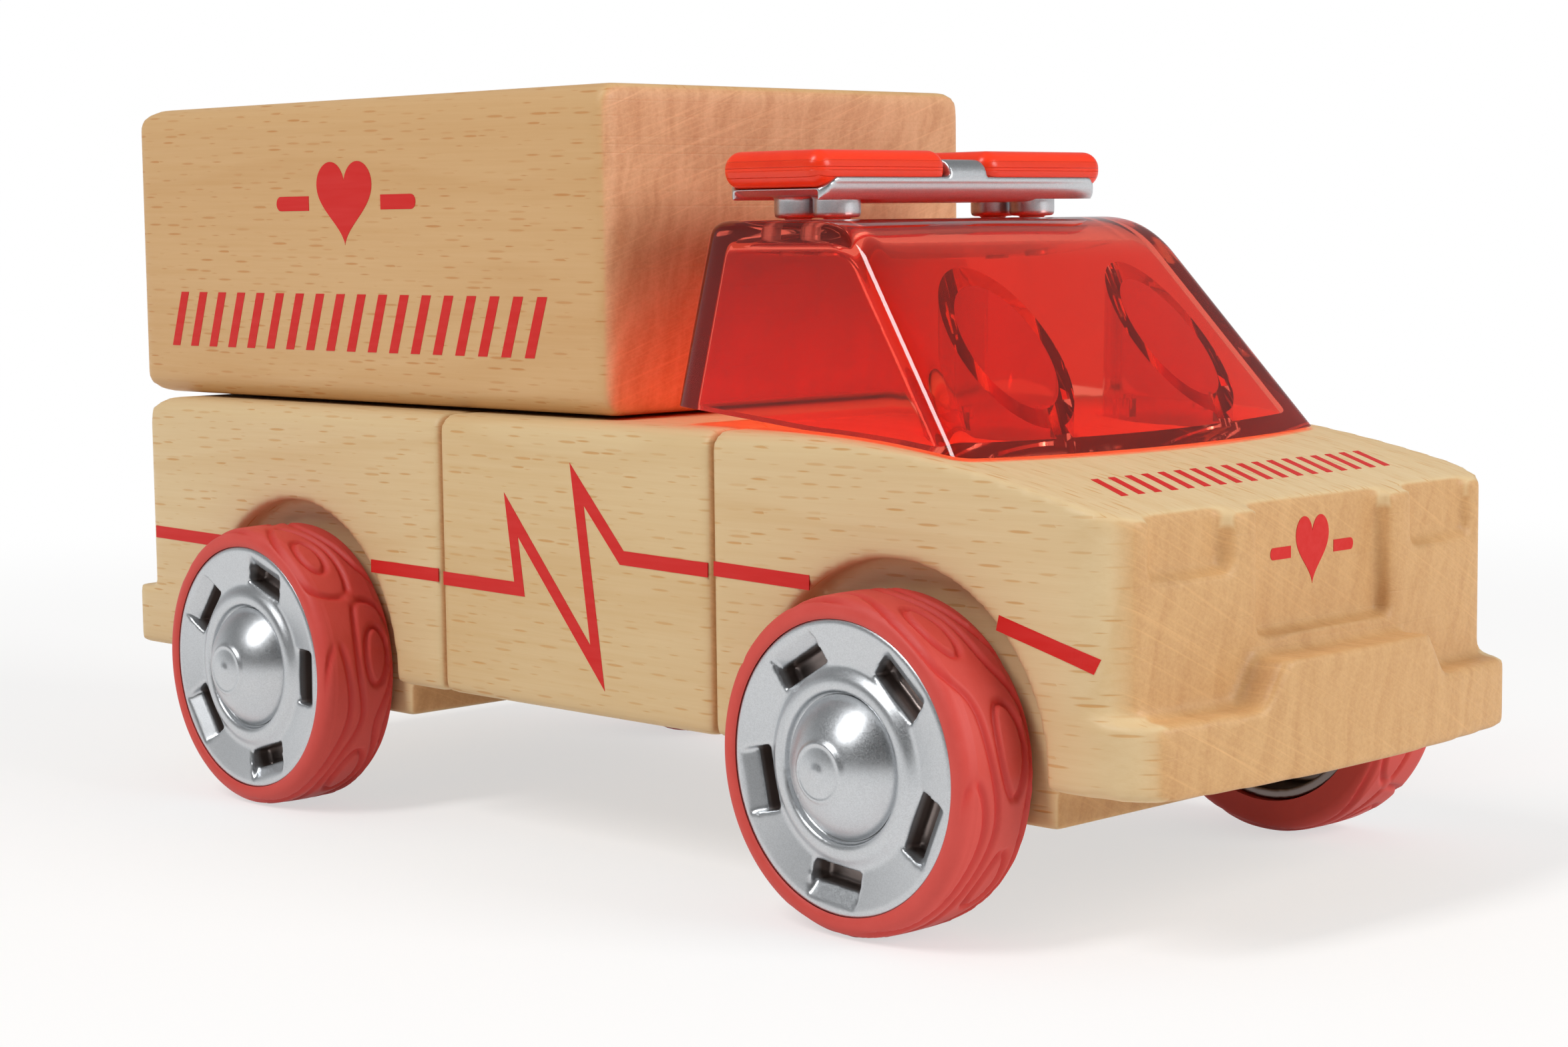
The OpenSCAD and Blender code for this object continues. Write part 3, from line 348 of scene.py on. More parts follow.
def silver_paint(name, shade_line=None):
    """Silver metallic paint on moulded plastic: a satin mirror broken by fine flakes. Nearer to the middle of
    the toy than a shade line, in mm across it, a darker grey is painted as shade in the slots' pockets and on
    the rim's back."""
    material, tree, place = start_material(name)
    # Flakes are drawn about 0.06 mm wide, coarser than real ones.
    flake = node(tree, "ShaderNodeTexVoronoi", {
        "Vector": place["Object"], "Scale": 16000.0, "Randomness": 1.0}, feature="F1")
    spark = node(tree, "ShaderNodeSeparateColor", (flake.outputs["Color"],)).outputs
    base = colours().silver
    dim = toned(base, (0.86, 0.86, 0.86))
    colour = node(tree, "ShaderNodeMix", {0: spark["Red"], 6: base, 7: dim}, data_type="RGBA")
    if shade_line:
        # Painted shade: deeper than the shade line, the silver turns to a darker grey.
        across = node(tree, "ShaderNodeSeparateXYZ", (place["Object"],)).outputs["Y"]
        deep = node(tree, "ShaderNodeMath", (across,), operation="ABSOLUTE")
        thinning_and_pocket_shade = node(tree, "ShaderNodeMapRange", (deep, (shade_line - 0.5) * MM, shade_line * MM, 1.0, 0.0))
        colour = node(tree, "ShaderNodeMix", {0: thinning_and_pocket_shade, 6: colour, 7: linear("#857A76")}, data_type="RGBA")
    rough = node(tree, "ShaderNodeMapRange", (spark["Green"], 0.0, 1.0, 0.28, 0.4))
    shader = node(tree, "ShaderNodeBsdfPrincipled", {
        "Base Color": colour, "Roughness": rough, "Metallic": 0.9})
    node(tree, "ShaderNodeOutputMaterial", {"Surface": shader})
    return material


def red_rubber(name):
    """Red moulded rubber: matt, with a faint dusty bloom; the lines cut into the tread are painted a darker
    red as shade, without bloom.
    """
    material, tree, place = start_material(name)
    # Bloom in patches some 2.4 mm wide, and grit about 0.3 mm wide.
    bloom = node(tree, "ShaderNodeTexNoise", {
        "Vector": place["Object"], "Scale": 420.0, "Detail": 5.0, "Roughness": 0.65})
    grit = node(tree, "ShaderNodeTexNoise", {"Vector": place["Object"], "Scale": 3600.0, "Detail": 2.0})
    dust = node(tree, "ShaderNodeMapRange", (bloom, 0.38, 0.72, 0.0, 0.35))
    base = colours().rubber
    pale = toned(base, (1.08, 1.08, 1.08), 0.035)
    # Painted shade for the lines cut into the tread: a darker, deeper red.
    deep = toned(base, (0.95, 0.5, 0.5))
    skin = node(tree, "ShaderNodeMix", {0: dust, 6: base, 7: pale}, data_type="RGBA")
    # How deep each point is cut sets how much painted shade it gets.
    groove_shade = node(tree, "ShaderNodeAttribute", attribute_name="groove_shade").outputs["Fac"]
    cut = node(tree, "ShaderNodeMix", {0: groove_shade, 6: skin, 7: deep}, data_type="RGBA")
    rough = node(tree, "ShaderNodeMapRange", (bloom, 0.3, 0.7, 0.5, 0.64))
    bump = node(tree, "ShaderNodeBump", {"Height": grit, "Strength": 0.25, "Distance": 0.04 * MM})
    shader = node(tree, "ShaderNodeBsdfPrincipled", {"Base Color": cut, "Roughness": rough, "Normal": bump})
    node(tree, "ShaderNodeOutputMaterial", {"Surface": shader})
    return material


def grey_nylon(name):
    """Grey moulded nylon: matt, with a fine spark-eroded grain."""
    material, tree, place = start_material(name)
    # Grain about 0.4 mm wide.
    pitted = node(tree, "ShaderNodeTexNoise", {"Vector": place["Object"], "Scale": 2600.0, "Detail": 3.0})
    tone = node(tree, "ShaderNodeMapRange", (pitted, 0.35, 0.7, 0.0, 0.4))
    base = colours().nylon
    pale = toned(base, (1.25, 1.25, 1.25))
    colour = node(tree, "ShaderNodeMix", {0: tone, 6: base, 7: pale}, data_type="RGBA")
    bump = node(tree, "ShaderNodeBump", {"Height": pitted, "Strength": 0.3, "Distance": 0.03 * MM})
    shader = node(tree, "ShaderNodeBsdfPrincipled", {"Base Color": colour, "Roughness": 0.55, "Normal": bump})
    node(tree, "ShaderNodeOutputMaterial", {"Surface": shader})
    return material


def drawn_steel(name):
    """Drawn steel wire: a bright metal with fine lines along its length."""
    material, tree, place = start_material(name)
    # Lines about 0.12 mm wide and 12 mm long.
    line = grain(tree, place["Object"], (0.12 * MM, 12 * MM, 0.12 * MM), 3.0)
    rough = node(tree, "ShaderNodeMapRange", (line, 0.3, 0.7, 0.22, 0.42))
    shader = node(tree, "ShaderNodeBsdfPrincipled", {
        "Base Color": colours().steel, "Roughness": rough, "Metallic": 1.0})
    node(tree, "ShaderNodeOutputMaterial", {"Surface": shader})
    return material


MATERIALS = {}


def finish_of(name, make, *facts):
    """The material of that name, made once."""
    if name not in MATERIALS:
        MATERIALS[name] = make(name, *facts)
    return MATERIALS[name]


def put(name, data):
    """A new object in the scene."""
    made = bpy.data.objects.new(name, data)
    bpy.context.scene.collection.objects.link(made)
    return made


def baked(holder):
    """The plain mesh that an object's modifiers make of it. The object goes."""
    ready = holder.evaluated_get(bpy.context.evaluated_depsgraph_get())
    mesh = bpy.data.meshes.new_from_object(ready)
    bpy.data.objects.remove(holder)
    return mesh


def mend(mesh, merge=True, outwards=True):
    """Merges a mesh's doubles and turns its faces outwards."""
    work = bmesh.new()
    work.from_mesh(mesh)
    if merge:
        bmesh.ops.remove_doubles(work, verts=work.verts, dist=MERGE)
    if outwards:
        bmesh.ops.recalc_face_normals(work, faces=work.faces)
    work.to_mesh(mesh)
    work.free()


def mark(mesh, name, values):
    """Keeps a number for each point of a mesh, for its material to read."""
    layer = mesh.attributes.new(name, "FLOAT", "POINT")
    layer.data.foreach_set("value", np.ravel(values).astype(np.float32))


def add_piece(name, mesh, body, material, stands_for=()):
    """Puts a finished mesh, in metres, into the scene on its body."""
    piece = put(name, mesh)
    mesh.materials.clear()
    mesh.materials.append(material)
    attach(piece, body)
    if stands_for:
        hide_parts(*stands_for)


def mesh_of(name, points, faces, smooth=True):
    """A mesh in metres from points in millimetres."""
    mesh = bpy.data.meshes.new(name)
    mesh.from_pydata([tuple(c * MM for c in p) for p in points], [], faces)
    mesh.validate()
    mesh.polygons.foreach_set("use_smooth", [smooth] * len(mesh.polygons))
    return mesh


def softened(solid, step, passes):
    """A copy of a solid with softened edges: an even skin of small faces, then smoothing passes."""
    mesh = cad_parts[solid].data.copy()
    mend(mesh, outwards=False)
    mesh.transform(Matrix.Scale(METRE, 4))
    holder = put(solid + "_work", mesh)
    skin = holder.modifiers.new("skin", "REMESH")
    skin.mode = "VOXEL"
    skin.voxel_size = step * METRE
    skin.use_smooth_shade = True
    ease = holder.modifiers.new("ease", "SMOOTH")
    ease.factor = 0.5
    ease.iterations = passes
    made = baked(holder)
    made.transform(Matrix.Scale(MM, 4))
    made.shade_smooth()
    made.name = solid + "_skin"
    return made


def hood_height(x):
    """Height of the hood's surface at a place along the toy."""
    if x <= HOOD_START:
        return BODY_TOP
    return BODY_TOP - (HOOD_RADIUS - math.sqrt(HOOD_RADIUS ** 2 - (x - HOOD_START) ** 2))


def mark_recess_walls(mesh):
    """Marks the front's recesses, whose walls show the end grain that they are cut into."""
    rear, half, under_hood = 51.5, 19.2, 1.1
    place = np.empty(len(mesh.vertices) * 3)
    mesh.vertices.foreach_get("co", place)
    x, y, z = place.reshape(-1, 3).T * METRE
    below = np.array([hood_height(v) for v in x]) - z
    mark(mesh, "cut", (x > rear) & (np.abs(y) < half) & (below > under_hood))


class AMBULANCE_OT_blocks(Operator):
    """Sands the wooden blocks and the cargo box and gives each its own piece of beech"""

    bl_idname = "ambulance.blocks"
    bl_label = "Wooden blocks"

    def execute(self, context):
        # Pith place across the grain, turn of the plank, tones of its long and end grain, angle of the saw
        # marks and strength of the bands on the end grain of each block.
        planks = (
            ("rear_block", "rear_module", (58.0, -10.0), (0, 0.012, 0.02), (0.95, 0.94, 0.93),
             (0.95, 0.94, 0.93), 0.4, 0.15),
            ("middle_block", "middle", (72.0, 2.0), (0, -0.01, 0.015), (0.95, 0.94, 0.92),
             (0.95, 0.94, 0.92), 0.4, 0.15),
            ("front_block", "front_module", (65.0, -4.0), (0, 0.012, -0.015), (0.95, 0.94, 0.93),
             (0.92, 0.925, 0.86), 0.454, 0.22),
            ("cargo_box", "box", (60.0, 28.0), (0, -0.012, 0.02), (0.85, 0.70, 0.57),
             (1.06, 0.99, 1.1), -0.36, 0.42),
        )
        size = sizes()
        for solid, body, *facts in planks:
            beech = finish_of("oiled_beech_" + solid, oiled_beech, *facts)
            mesh = softened(solid, size.sanding, size.sanding_passes)
            if solid == "front_block":
                mark_recess_walls(mesh)
            add_piece("sanded_" + solid, mesh, body, beech, (solid,))
        return {"FINISHED"}


def stroke(points, width):
    """Four-cornered pieces of a line of even width whose corners are mitred."""
    p = np.array(points, float)
    way = np.diff(p, axis=0)
    way /= np.linalg.norm(way, axis=1, keepdims=True)
    side = np.stack([-way[:, 1], way[:, 0]], 1)
    left, right, sharpest = [], [], 0.12
    for i in range(len(p)):
        a, b = side[max(i - 1, 0)], side[min(i, len(side) - 1)]
        m = (a + b) / np.linalg.norm(a + b)
        m = m * (width / 2) / max(sharpest, m @ a)
        left.append(tuple(p[i] + m))
        right.append(tuple(p[i] - m))
    return [[left[i], right[i], right[i + 1], left[i + 1]] for i in range(len(p) - 1)]


def film(name, shapes, place):
    """A printed film: flat shapes, each a closed slab that reaches a little into the wood."""
    points, faces = [], []
    for shape in shapes:
        start, n = len(points), len(shape)
        pairs = [(shape[i], shape[(i + 1) % n]) for i in range(n)]
        area = sum(a[0] * b[1] - b[0] * a[1] for a, b in pairs)
        shape = shape if area > 0 else shape[::-1]
        for height in (PRINT_FILM, -PRINT_ROOT):
            points += [place(a, b, height) for a, b in shape]
        faces.append([start + i for i in range(n)])
        faces.append([start + n + i for i in reversed(range(n))])
        faces += [[start + i, start + n + i, start + n + (i + 1) % n, start + (i + 1) % n] for i in range(n)]
    mesh = mesh_of(name, points, faces, False)
    mend(mesh, merge=False)
    return mesh


def arch_edge(axle, z, ahead):
    """Where a print stops short of a wheel arch at a height, ahead of or behind the axle."""
    half = math.sqrt((ARCH_RADIUS + PRINT_MARGIN) ** 2 - (z - WHEEL_RADIUS) ** 2)
    return AXLES[axle] + (half if ahead else -half)


def past_corner(x):
    """How far a place along the toy lies past the start of the rounded front corner."""
    return max(0.0, x - FRONT_FACE + FRONT_CORNER)


def arc_points(centre, radius, start, stop, steps):
    """Points of an arc, with angles in degrees."""
    angles = [math.radians(start + (stop - start) * i / steps) for i in range(steps + 1)]
    return [(centre[0] + radius * math.cos(a), centre[1] + radius * math.sin(a)) for a in angles]


def heart_on_bar():
    """A heart with a round-ended bar on either side, as flat shapes about the middle."""
    scale, lift, inner, outer, half = 0.235, 0.55, 4.9, 8.9, 0.6
    heart, steps = [], 96
    for t in (2 * math.pi * i / steps for i in range(steps)):
        up = 13 * math.cos(t) - 5 * math.cos(2 * t) - 2 * math.cos(3 * t) - math.cos(4 * t)
        heart.append((scale * 16 * math.sin(t) ** 3, scale * up + lift))
    bar = arc_points((outer, 0.0), half, -90, 90, 12) + [(inner, half), (inner, -half)]
    return [heart] + [[(sign * x, y) for x, y in bar] for sign in (-1, 1)]


class AMBULANCE_OT_prints(Operator):
    """Prints the pulse line along both sides, and a heart on the box and the front"""

    bl_idname = "ambulance.prints"
    bl_label = "Red prints"

    def execute(self, context):
        ink = finish_of("pad_print_red", pad_print)
        width = sizes().stripe_width * METRE
        # The last stretch falls towards the nose, and faster round the corner.
        level, fall, bend, tip, corner = 21.6, 0.252, 0.044, 53.0, 1.3
        nose = arch_edge("front", level, True) + 0.1
        lines = {
            "rear_module": [
                [(REAR_FACE + corner, 21.03), (arch_edge("rear", 20.85, False), 20.85)],
                [(arch_edge("rear", 20.25, True), 20.3), (REAR_SEAM - PRINT_MARGIN, 20.2)]],
            "middle": [
                [(MIDDLE_REAR + PRINT_MARGIN, 20.03), (-3.47, 19.89), (-4.33, 25.58), (5.48, 14.66),
                 (3.47, 28.34), (8.41, 23.16), (MIDDLE_FRONT - PRINT_MARGIN, 22.95)]],
            "front_module": [
                [(FRONT_SEAM + PRINT_MARGIN, 23.12), (arch_edge("front", 22.9, False), 22.85)],
                [(x, level - fall * (x - nose) - bend * past_corner(x) ** 2)
                 for x in np.linspace(nose, tip, 25)]],
        }
        for side, sign in SIDES.items():
            def on_side(a, b, h, sign=sign):
                # The film follows the side round the front corner.
                eased = FRONT_CORNER - math.sqrt(FRONT_CORNER ** 2 - past_corner(a) ** 2)
                return (a, sign * (BODY_HALF - eased + h), b)

            def on_box(a, b, h, sign=sign):
                return (BOX_HEART[0] - sign * a, sign * (BOX_HALF + h), BOX_HEART[1] + b)

            for body, runs in lines.items():
                shapes = [quad for run in runs for quad in stroke(run, width)]
                mesh = film("pulse_line", shapes, on_side)
                add_piece("pulse_line_%s_%s" % (body, side), mesh, body, ink)
            add_piece("heart_box_" + side, film("heart", heart_on_bar(), on_box), "box", ink)

        def on_grille(a, b, h):
            across, up = GRILLE_HEART_SCALE
            return (FRONT_FACE - RECESS + h, a * across, GRILLE_HEART + b * up)

        add_piece("heart_front", film("heart", heart_on_bar(), on_grille), "front_module", ink)
        return {"FINISHED"}


def bar_row_tree():
    """Geometry nodes: a row of slanted bars, evenly spaced about the middle."""
    tree = bpy.data.node_groups.new("slanted_bar_row", "GeometryNodeTree")
    tree.interface.new_socket("Geometry", in_out="OUTPUT", socket_type="NodeSocketGeometry")
    tree.interface.new_socket("Count", in_out="INPUT", socket_type="NodeSocketInt")
    for name in ("Spacing", "Width", "Height", "Film", "Slant"):
        tree.interface.new_socket(name, in_out="INPUT", socket_type="NodeSocketFloat")
    tree.interface.new_socket("Ink", in_out="INPUT", socket_type="NodeSocketMaterial")
    given = node(tree, "NodeGroupInput").outputs
    step = node(tree, "ShaderNodeCombineXYZ", {"X": given["Spacing"]})
    gaps = node(tree, "ShaderNodeMath", (given["Count"], 1.0), operation="SUBTRACT")
    length = node(tree, "ShaderNodeMath", (gaps, given["Spacing"]), operation="MULTIPLY")
    half = node(tree, "ShaderNodeMath", (length, -0.5), operation="MULTIPLY")
    start = node(tree, "ShaderNodeCombineXYZ", {"X": half})
    row = node(tree, "GeometryNodeMeshLine", {
        "Count": given["Count"], "Start Location": start, "Offset": step}, mode="OFFSET")
    size = node(tree, "ShaderNodeCombineXYZ", (given["Width"], given["Film"], given["Height"]))
    bar = node(tree, "GeometryNodeMeshCube", (size, 2, 2, 2))
    place = node(tree, "GeometryNodeInputPosition")
    parts = node(tree, "ShaderNodeSeparateXYZ", (place,)).outputs
    lean = node(tree, "ShaderNodeMath", (parts["Z"], given["Slant"]), operation="MULTIPLY")
    shift = node(tree, "ShaderNodeCombineXYZ", {"X": lean})
    slanted = node(tree, "GeometryNodeSetPosition", {"Geometry": bar, "Offset": shift})
    bars = node(tree, "GeometryNodeInstanceOnPoints", {"Points": row, "Instance": slanted})
    real = node(tree, "GeometryNodeRealizeInstances", {"Geometry": bars})
    inked = node(tree, "GeometryNodeSetMaterial", {"Geometry": real, "Material": given["Ink"]})
    node(tree, "NodeGroupOutput", {"Geometry": inked})
    return tree


def bar_row(name, tree, **values):
    """A plain mesh of the row of bars, in metres, about the origin."""
    holder = put(name, bpy.data.meshes.new(name))
    row = holder.modifiers.new("row", "NODES")
    row.node_group = tree
    for item in tree.interface.items_tree:
        if item.in_out == "INPUT":
            row[item.identifier] = values[item.name]
    return baked(holder)


class AMBULANCE_OT_bars(Operator):
    """Prints a row of slanted bars along the box sides and across the hood"""

    bl_idname = "ambulance.bars"
    bl_label = "Slanted bars"

    def execute(self, context):
        ink = finish_of("pad_print_red", pad_print)
        tree = bar_row_tree()
        both = dict(Count=18, Film=0.0001, Slant=0.35, Ink=ink)
        # The middle of each row in metres, and how far the middle of its film lies in the wood, in mm.
        box_x, box_z, hood_x, sunk = -0.0276, 0.0398, 0.0488, 0.02
        for side, sign in SIDES.items():
            mesh = bar_row("box_bars", tree, Spacing=0.00286, Width=0.00115, Height=0.0047, **both)
            mesh.transform(Matrix.Translation((box_x, sign * (BOX_HALF - sunk) * MM, box_z)))
            add_piece("bars_box_" + side, mesh, "box", ink)
        mesh = bar_row("hood_bars", tree, Spacing=0.00175, Width=0.0007, Height=0.0036, **both)
        for v in mesh.vertices:
            x, y = hood_x - v.co.z, v.co.x
            v.co = Vector((x, y, (hood_height(x * METRE) - sunk) * MM + v.co.y))
        mend(mesh, merge=False)
        add_piece("bars_hood", mesh, "front_module", ink)
        return {"FINISHED"}


def at_wheel(points, end, side):
    """Moves points, drawn along Z from a tyre's inner face, to a wheel."""
    sign = SIDES[side]
    x, y, z = np.asarray(points, float).reshape(-1, 3).T
    return np.stack([x + AXLES[end], sign * (z + WHEEL_INNER), -sign * y + WHEEL_RADIUS], 1)


def lathe(profile, turns):
    """Points and faces of a closed outline of radius and height, turned about Z."""
    radius, height = np.array(profile, float).T
    angle = np.linspace(0, 2 * np.pi, turns, endpoint=False)
    n = len(profile)
    points = np.stack([np.outer(np.cos(angle), radius), np.outer(np.sin(angle), radius),
                       np.tile(height, (turns, 1))], -1)
    faces = []
    for i in range(turns):
        here, there = i * n, (i + 1) % turns * n
        for j in range(n):
            k = (j + 1) % n
            faces.append([here + j, here + k, there + k, there + j])
    return points, faces


def tread_groove(along, across, length, seed):
    """How deep the wood-figure lines cut the tread, from 0 to 1, at places along and across it in mm."""
    pick = np.random.default_rng(seed)
    line, knots, waves = 0.3, 7, 2
    # The lines are the whole numbers of a field that knots, on either half of the tread in turn, push up.
    field = 0.12 * across + 0.45 * np.sin(2 * np.pi * waves * along / length + 0.9 * across)
    for k in range(knots):
        a = length * (k + 0.25 * pick.random()) / knots
        b = (2.6, 4.2)[k % 2] + 0.9 * (pick.random() - 0.5)
        gap = (along - a + length / 2) % length - length / 2
        swirl = gap / (4.8 + pick.random()), (across - b) / (2.2 + 0.5 * pick.random())
        field = field + (2.6 + 0.5 * pick.random()) * np.exp(-swirl[0] ** 2 - swirl[1] ** 2)
    slope = np.hypot(np.gradient(field, axis=0) / (along[1, 0] - along[0, 0]),
                     np.gradient(field, axis=1) / np.maximum(np.gradient(across, axis=1), 1e-3))
    off = np.abs(field - np.round(field)) / np.maximum(slope, 0.25)
    return np.clip(1.4 - off / line, 0, 1) ** 1.5 * np.clip(slope / 0.2 - 0.5, 0, 1)


class AMBULANCE_OT_tyres(Operator):
    """Makes the rubber tyres with wood-figure lines cut into their treads"""

    bl_idname = "ambulance.tyres"
    bl_label = "Tyres"

    def execute(self, context):
        rubber = finish_of("red_moulded_rubber", red_rubber)
        depth = sizes().groove_depth * METRE
        seat, rim, lip, shoulder, crown, run_out = 8.99, 10.14, 6.06, 0.95, 0.12, 0.5
        turns, first_seed = 420, 40
        bend = WHEEL_RADIUS - crown - shoulder
        inner = [(seat, 0.0), (9.6, 0.0), (10.2, 0.0)]
        foot = arc_points((bend, shoulder), shoulder, -90, 0, 10)
        head = arc_points((bend, TYRE_WIDTH - shoulder), shoulder, 0, 90, 10)
        flat = [(WHEEL_RADIUS - crown * (2 * z / TYRE_WIDTH - 1) ** 2, z)
                for z in np.linspace(shoulder, TYRE_WIDTH - shoulder, 42)[1:-1]]
        # The lip leans over the rim's rounded edge: radii, and depths below the tyre's outer face.
        leaning = ((10.34, 0.0), (10.1, 0.05), (9.98, 0.15), (10.08, 0.34), (rim, 0.6))
        outer = [(radius, TYRE_WIDTH - down) for radius, down in leaning] + [(rim, lip), (seat, lip)]
        profile = inner + foot + flat + head + outer
        # The lines are cut from shoulder to shoulder, and run out over the last half millimetre.
        first, last = len(inner) + 3, len(inner) + len(foot) + len(flat) + len(head) - 3
        gone = np.concatenate([[0], np.cumsum(np.linalg.norm(np.diff(np.array(profile), axis=0), axis=1))])
        angle = np.linspace(0, 2 * np.pi, turns, endpoint=False)
        along = np.repeat((angle * WHEEL_RADIUS)[:, None], last - first, 1)
        across = np.repeat((gone[first:last] - gone[first])[None, :], turns, 0)
        edge = np.minimum(across, across[:, -1:] - across)
        for n, (end, side, name) in enumerate(WHEELS):
            points, faces = lathe(profile, turns)
            cut = tread_groove(along, across, 2 * np.pi * WHEEL_RADIUS, first_seed + n)
            cut = cut * np.clip(edge / run_out, 0, 1)
            points[:, first:last, 0] -= depth * cut * np.cos(angle)[:, None]
            points[:, first:last, 1] -= depth * cut * np.sin(angle)[:, None]
            # The cut depth is kept for the material, which paints shade into the lines by it.
            groove_shade = np.zeros(points.shape[:2])
            groove_shade[:, first:last] = cut
            mesh = mesh_of("tyre", at_wheel(points, end, side), faces)
            mark(mesh, "groove_shade", groove_shade)
            if SIDES[side] > 0:
                mesh.flip_normals()
            mesh.set_sharp_from_angle(angle=math.radians(50))
            add_piece("rubber_tyre_" + name, mesh, "wheel_" + name, rubber, ("tyre_" + name,))
        return {"FINISHED"}


class AMBULANCE_OT_rims(Operator):
    """Softens the slotted rims and turns their domed hub caps"""

    bl_idname = "ambulance.rims"
    bl_label = "Rims and hub caps"

    def execute(self, context):
        face, brim, high, sunk, stem, stem_foot, pocket_shade_depth = 7.0, 4.92, 2.3, 0.56, 1.5, 2.2, 0.85
        ring_radius, ring_width, ring_height, dot_radius, dot_height = 1.95, 0.17, 0.13, 0.5, 0.1
        silver = finish_of("silver_metallic_paint", silver_paint)
        # The rims' silver is painted a darker grey deeper than a set depth below the face, as shade in the
        # slots' pockets.
        slotted = finish_of("silver_metallic_paint_rims", silver_paint, WHEEL_INNER + face - pocket_shade_depth)
        # The dome is part of a sphere, and carries a raised ring and a dot.
        rise = high + 0.42
        sphere = (brim ** 2 + rise ** 2) / (2 * rise)
        spread = math.degrees(math.asin(brim / sphere))
        dome = arc_points((0.0, face + high - dot_height - sphere), sphere, 90 - spread, 90, 64)
        profile = [(0.0, face - stem_foot), (stem, face - stem_foot)]
        profile += [(stem, face - sunk), (brim - 0.1, face - sunk)]
        for r, z in dome:
            ring = ring_height * math.exp(-((r - ring_radius) / ring_width) ** 2)
            dot = dot_height * math.exp(-(r / dot_radius) ** 4)
            profile.append((r, z + ring + dot))
        points, faces = lathe(profile, 96)
        for end, side, name in WHEELS:
            body = "wheel_" + name
            mesh = softened("rim_" + name, step=0.00016, passes=3)
            add_piece("slotted_rim_" + name, mesh, body, slotted, ("rim_" + name,))
            cap = mesh_of("hub_cap", at_wheel(points, end, side), faces)
            mend(cap)
            cap.set_sharp_from_angle(angle=math.radians(50))
            add_piece("domed_cap_" + name, cap, body, silver, ("hub_cap_" + name,))
        return {"FINISHED"}


def canopy_limits(z, inset):
    """Half width, radius of the bowed front, and rear wall of the canopy at a height."""
    c = CANOPY
    top = c["top"] - inset
    rise = z - BODY_TOP
    lean, side = math.radians(c["lean"]), math.radians(c["side"])

    def wall(foot, slope, radius):
        # A wall leans in from its foot and bends into the roof.
        if z <= top - radius + radius * math.sin(slope):
            return foot - rise * math.tan(slope)
        mid = foot - (top - BODY_TOP) * math.tan(slope) - radius * math.tan((math.pi / 2 - slope) / 2)
        return mid + math.sqrt(max(0.0, radius ** 2 - (z - top + radius) ** 2))

    wide = wall(c["half"] - inset / math.cos(side), side, c["fillet"] if inset else c["edge"])
    front = wall(c["bow"] - inset / math.cos(lean), lean, c["curve"] - inset)
    rear = c["rear"] + inset + rise * math.tan(math.radians(c["rear_lean"]))
    back = max(c["back_edge"] - inset, 0.4)
    if z > top - back:
        rear += back - math.sqrt(max(0.0, back ** 2 - (z - top + back) ** 2))
    return wide, front, rear


def canopy_point(station, z, inset):
    """The canopy's outline at a height: a rounded shape with a bowed front, walked by stations."""
    wide, front, rear = canopy_limits(z, inset)
    axis = CANOPY["foot"] - CANOPY["bow"]
    pillar = CANOPY["fillet"] if inset else CANOPY["pillar"]
    back = max(CANOPY["back_pillar"] - inset, 0.5)
    kind, t = station

    def bowed(y):
        return axis + math.sqrt(front ** 2 - y ** 2)

    def bend(a, b, c):
        return tuple((1 - t) ** 2 * a[i] + 2 * t * (1 - t) * b[i] + t * t * c[i] for i in (0, 1))

    corner = bowed(wide)
    inner = bowed(wide - pillar)
    if kind == "side_left":
        x, y = rear + back + (corner - pillar - rear - back) * t, wide
    elif kind == "pillar_left":
        x, y = bend((corner - pillar, wide), (corner, wide), (inner, wide - pillar))
    elif kind == "front":
        y = (wide - pillar) * (1 - 2 * t)
        x = bowed(y)
    elif kind == "pillar_right":
        x, y = bend((inner, pillar - wide), (corner, -wide), (corner - pillar, -wide))
    elif kind == "side_right":
        x, y = corner - pillar - (corner - pillar - rear - back) * t, -wide
    elif kind == "back_right":
        x, y = bend((rear + back, -wide), (rear, -wide), (rear, back - wide))
    elif kind == "back":
        x, y = rear, (back - wide) * (1 - 2 * t)
    else:
        x, y = bend((rear, wide - back), (rear, wide), (rear + back, wide))
    return x, y, z


def canopy_shell(wall):
    """Points and faces of the open shell: outside, inside, roof and lower rim."""
    stations = []
    for kind, steps in (("side_left", 14), ("pillar_left", 10), ("front", 28), ("pillar_right", 10),
                        ("side_right", 14), ("back_right", 8), ("back", 20), ("back_left", 8)):
        stations += [(kind, i / steps) for i in range(steps)]
    heel = BODY_TOP + CANOPY["lift"]
    toe = hood_height(CANOPY["foot"]) + CANOPY["gap"]
    run = CANOPY["foot"] - CANOPY["rear"]

    def lower(x):
        line = heel + (toe - heel) * (x - CANOPY["rear"]) / run
        return max(line, hood_height(x) + CANOPY["gap"])

    # Rows of points lie evenly up to the roof's curve, and crowd together through it.
    n, rows_each, curve = len(stations), 16, 3.2
    points, faces, rings = [], [], []
    for inset in (0.0, wall):
        spring = CANOPY["top"] - inset - curve
        feet = []
        for station in stations:
            z = BODY_TOP
            for _ in range(5):
                z = lower(canopy_point(station, z, inset)[0])
            feet.append(z)
        start = len(points)
        rings.append(start)
        for i in range(rows_each + 1):
            share = i / rows_each
            points += [canopy_point(s, f + (spring - f) * share, inset) for s, f in zip(stations, feet)]
        for i in range(1, rows_each + 1):
            z = spring + curve * math.sin(math.pi / 2 * i / rows_each)
            points += [canopy_point(s, z, inset) for s in stations]
        last = len(points) - n
        for row in range(start, last, n):
            for k in range(n):
                a, b = row + k, row + (k + 1) % n
                quad = [a, b, b + n, a + n]
                faces.append(quad if inset else quad[::-1])
        roof = [last + k for k in range(n)]
        faces.append(roof if inset else roof[::-1])
    for k in range(n):
        j = (k + 1) % n
        faces.append([rings[0] + k, rings[0] + j, rings[1] + j, rings[1] + k])
    return points, faces


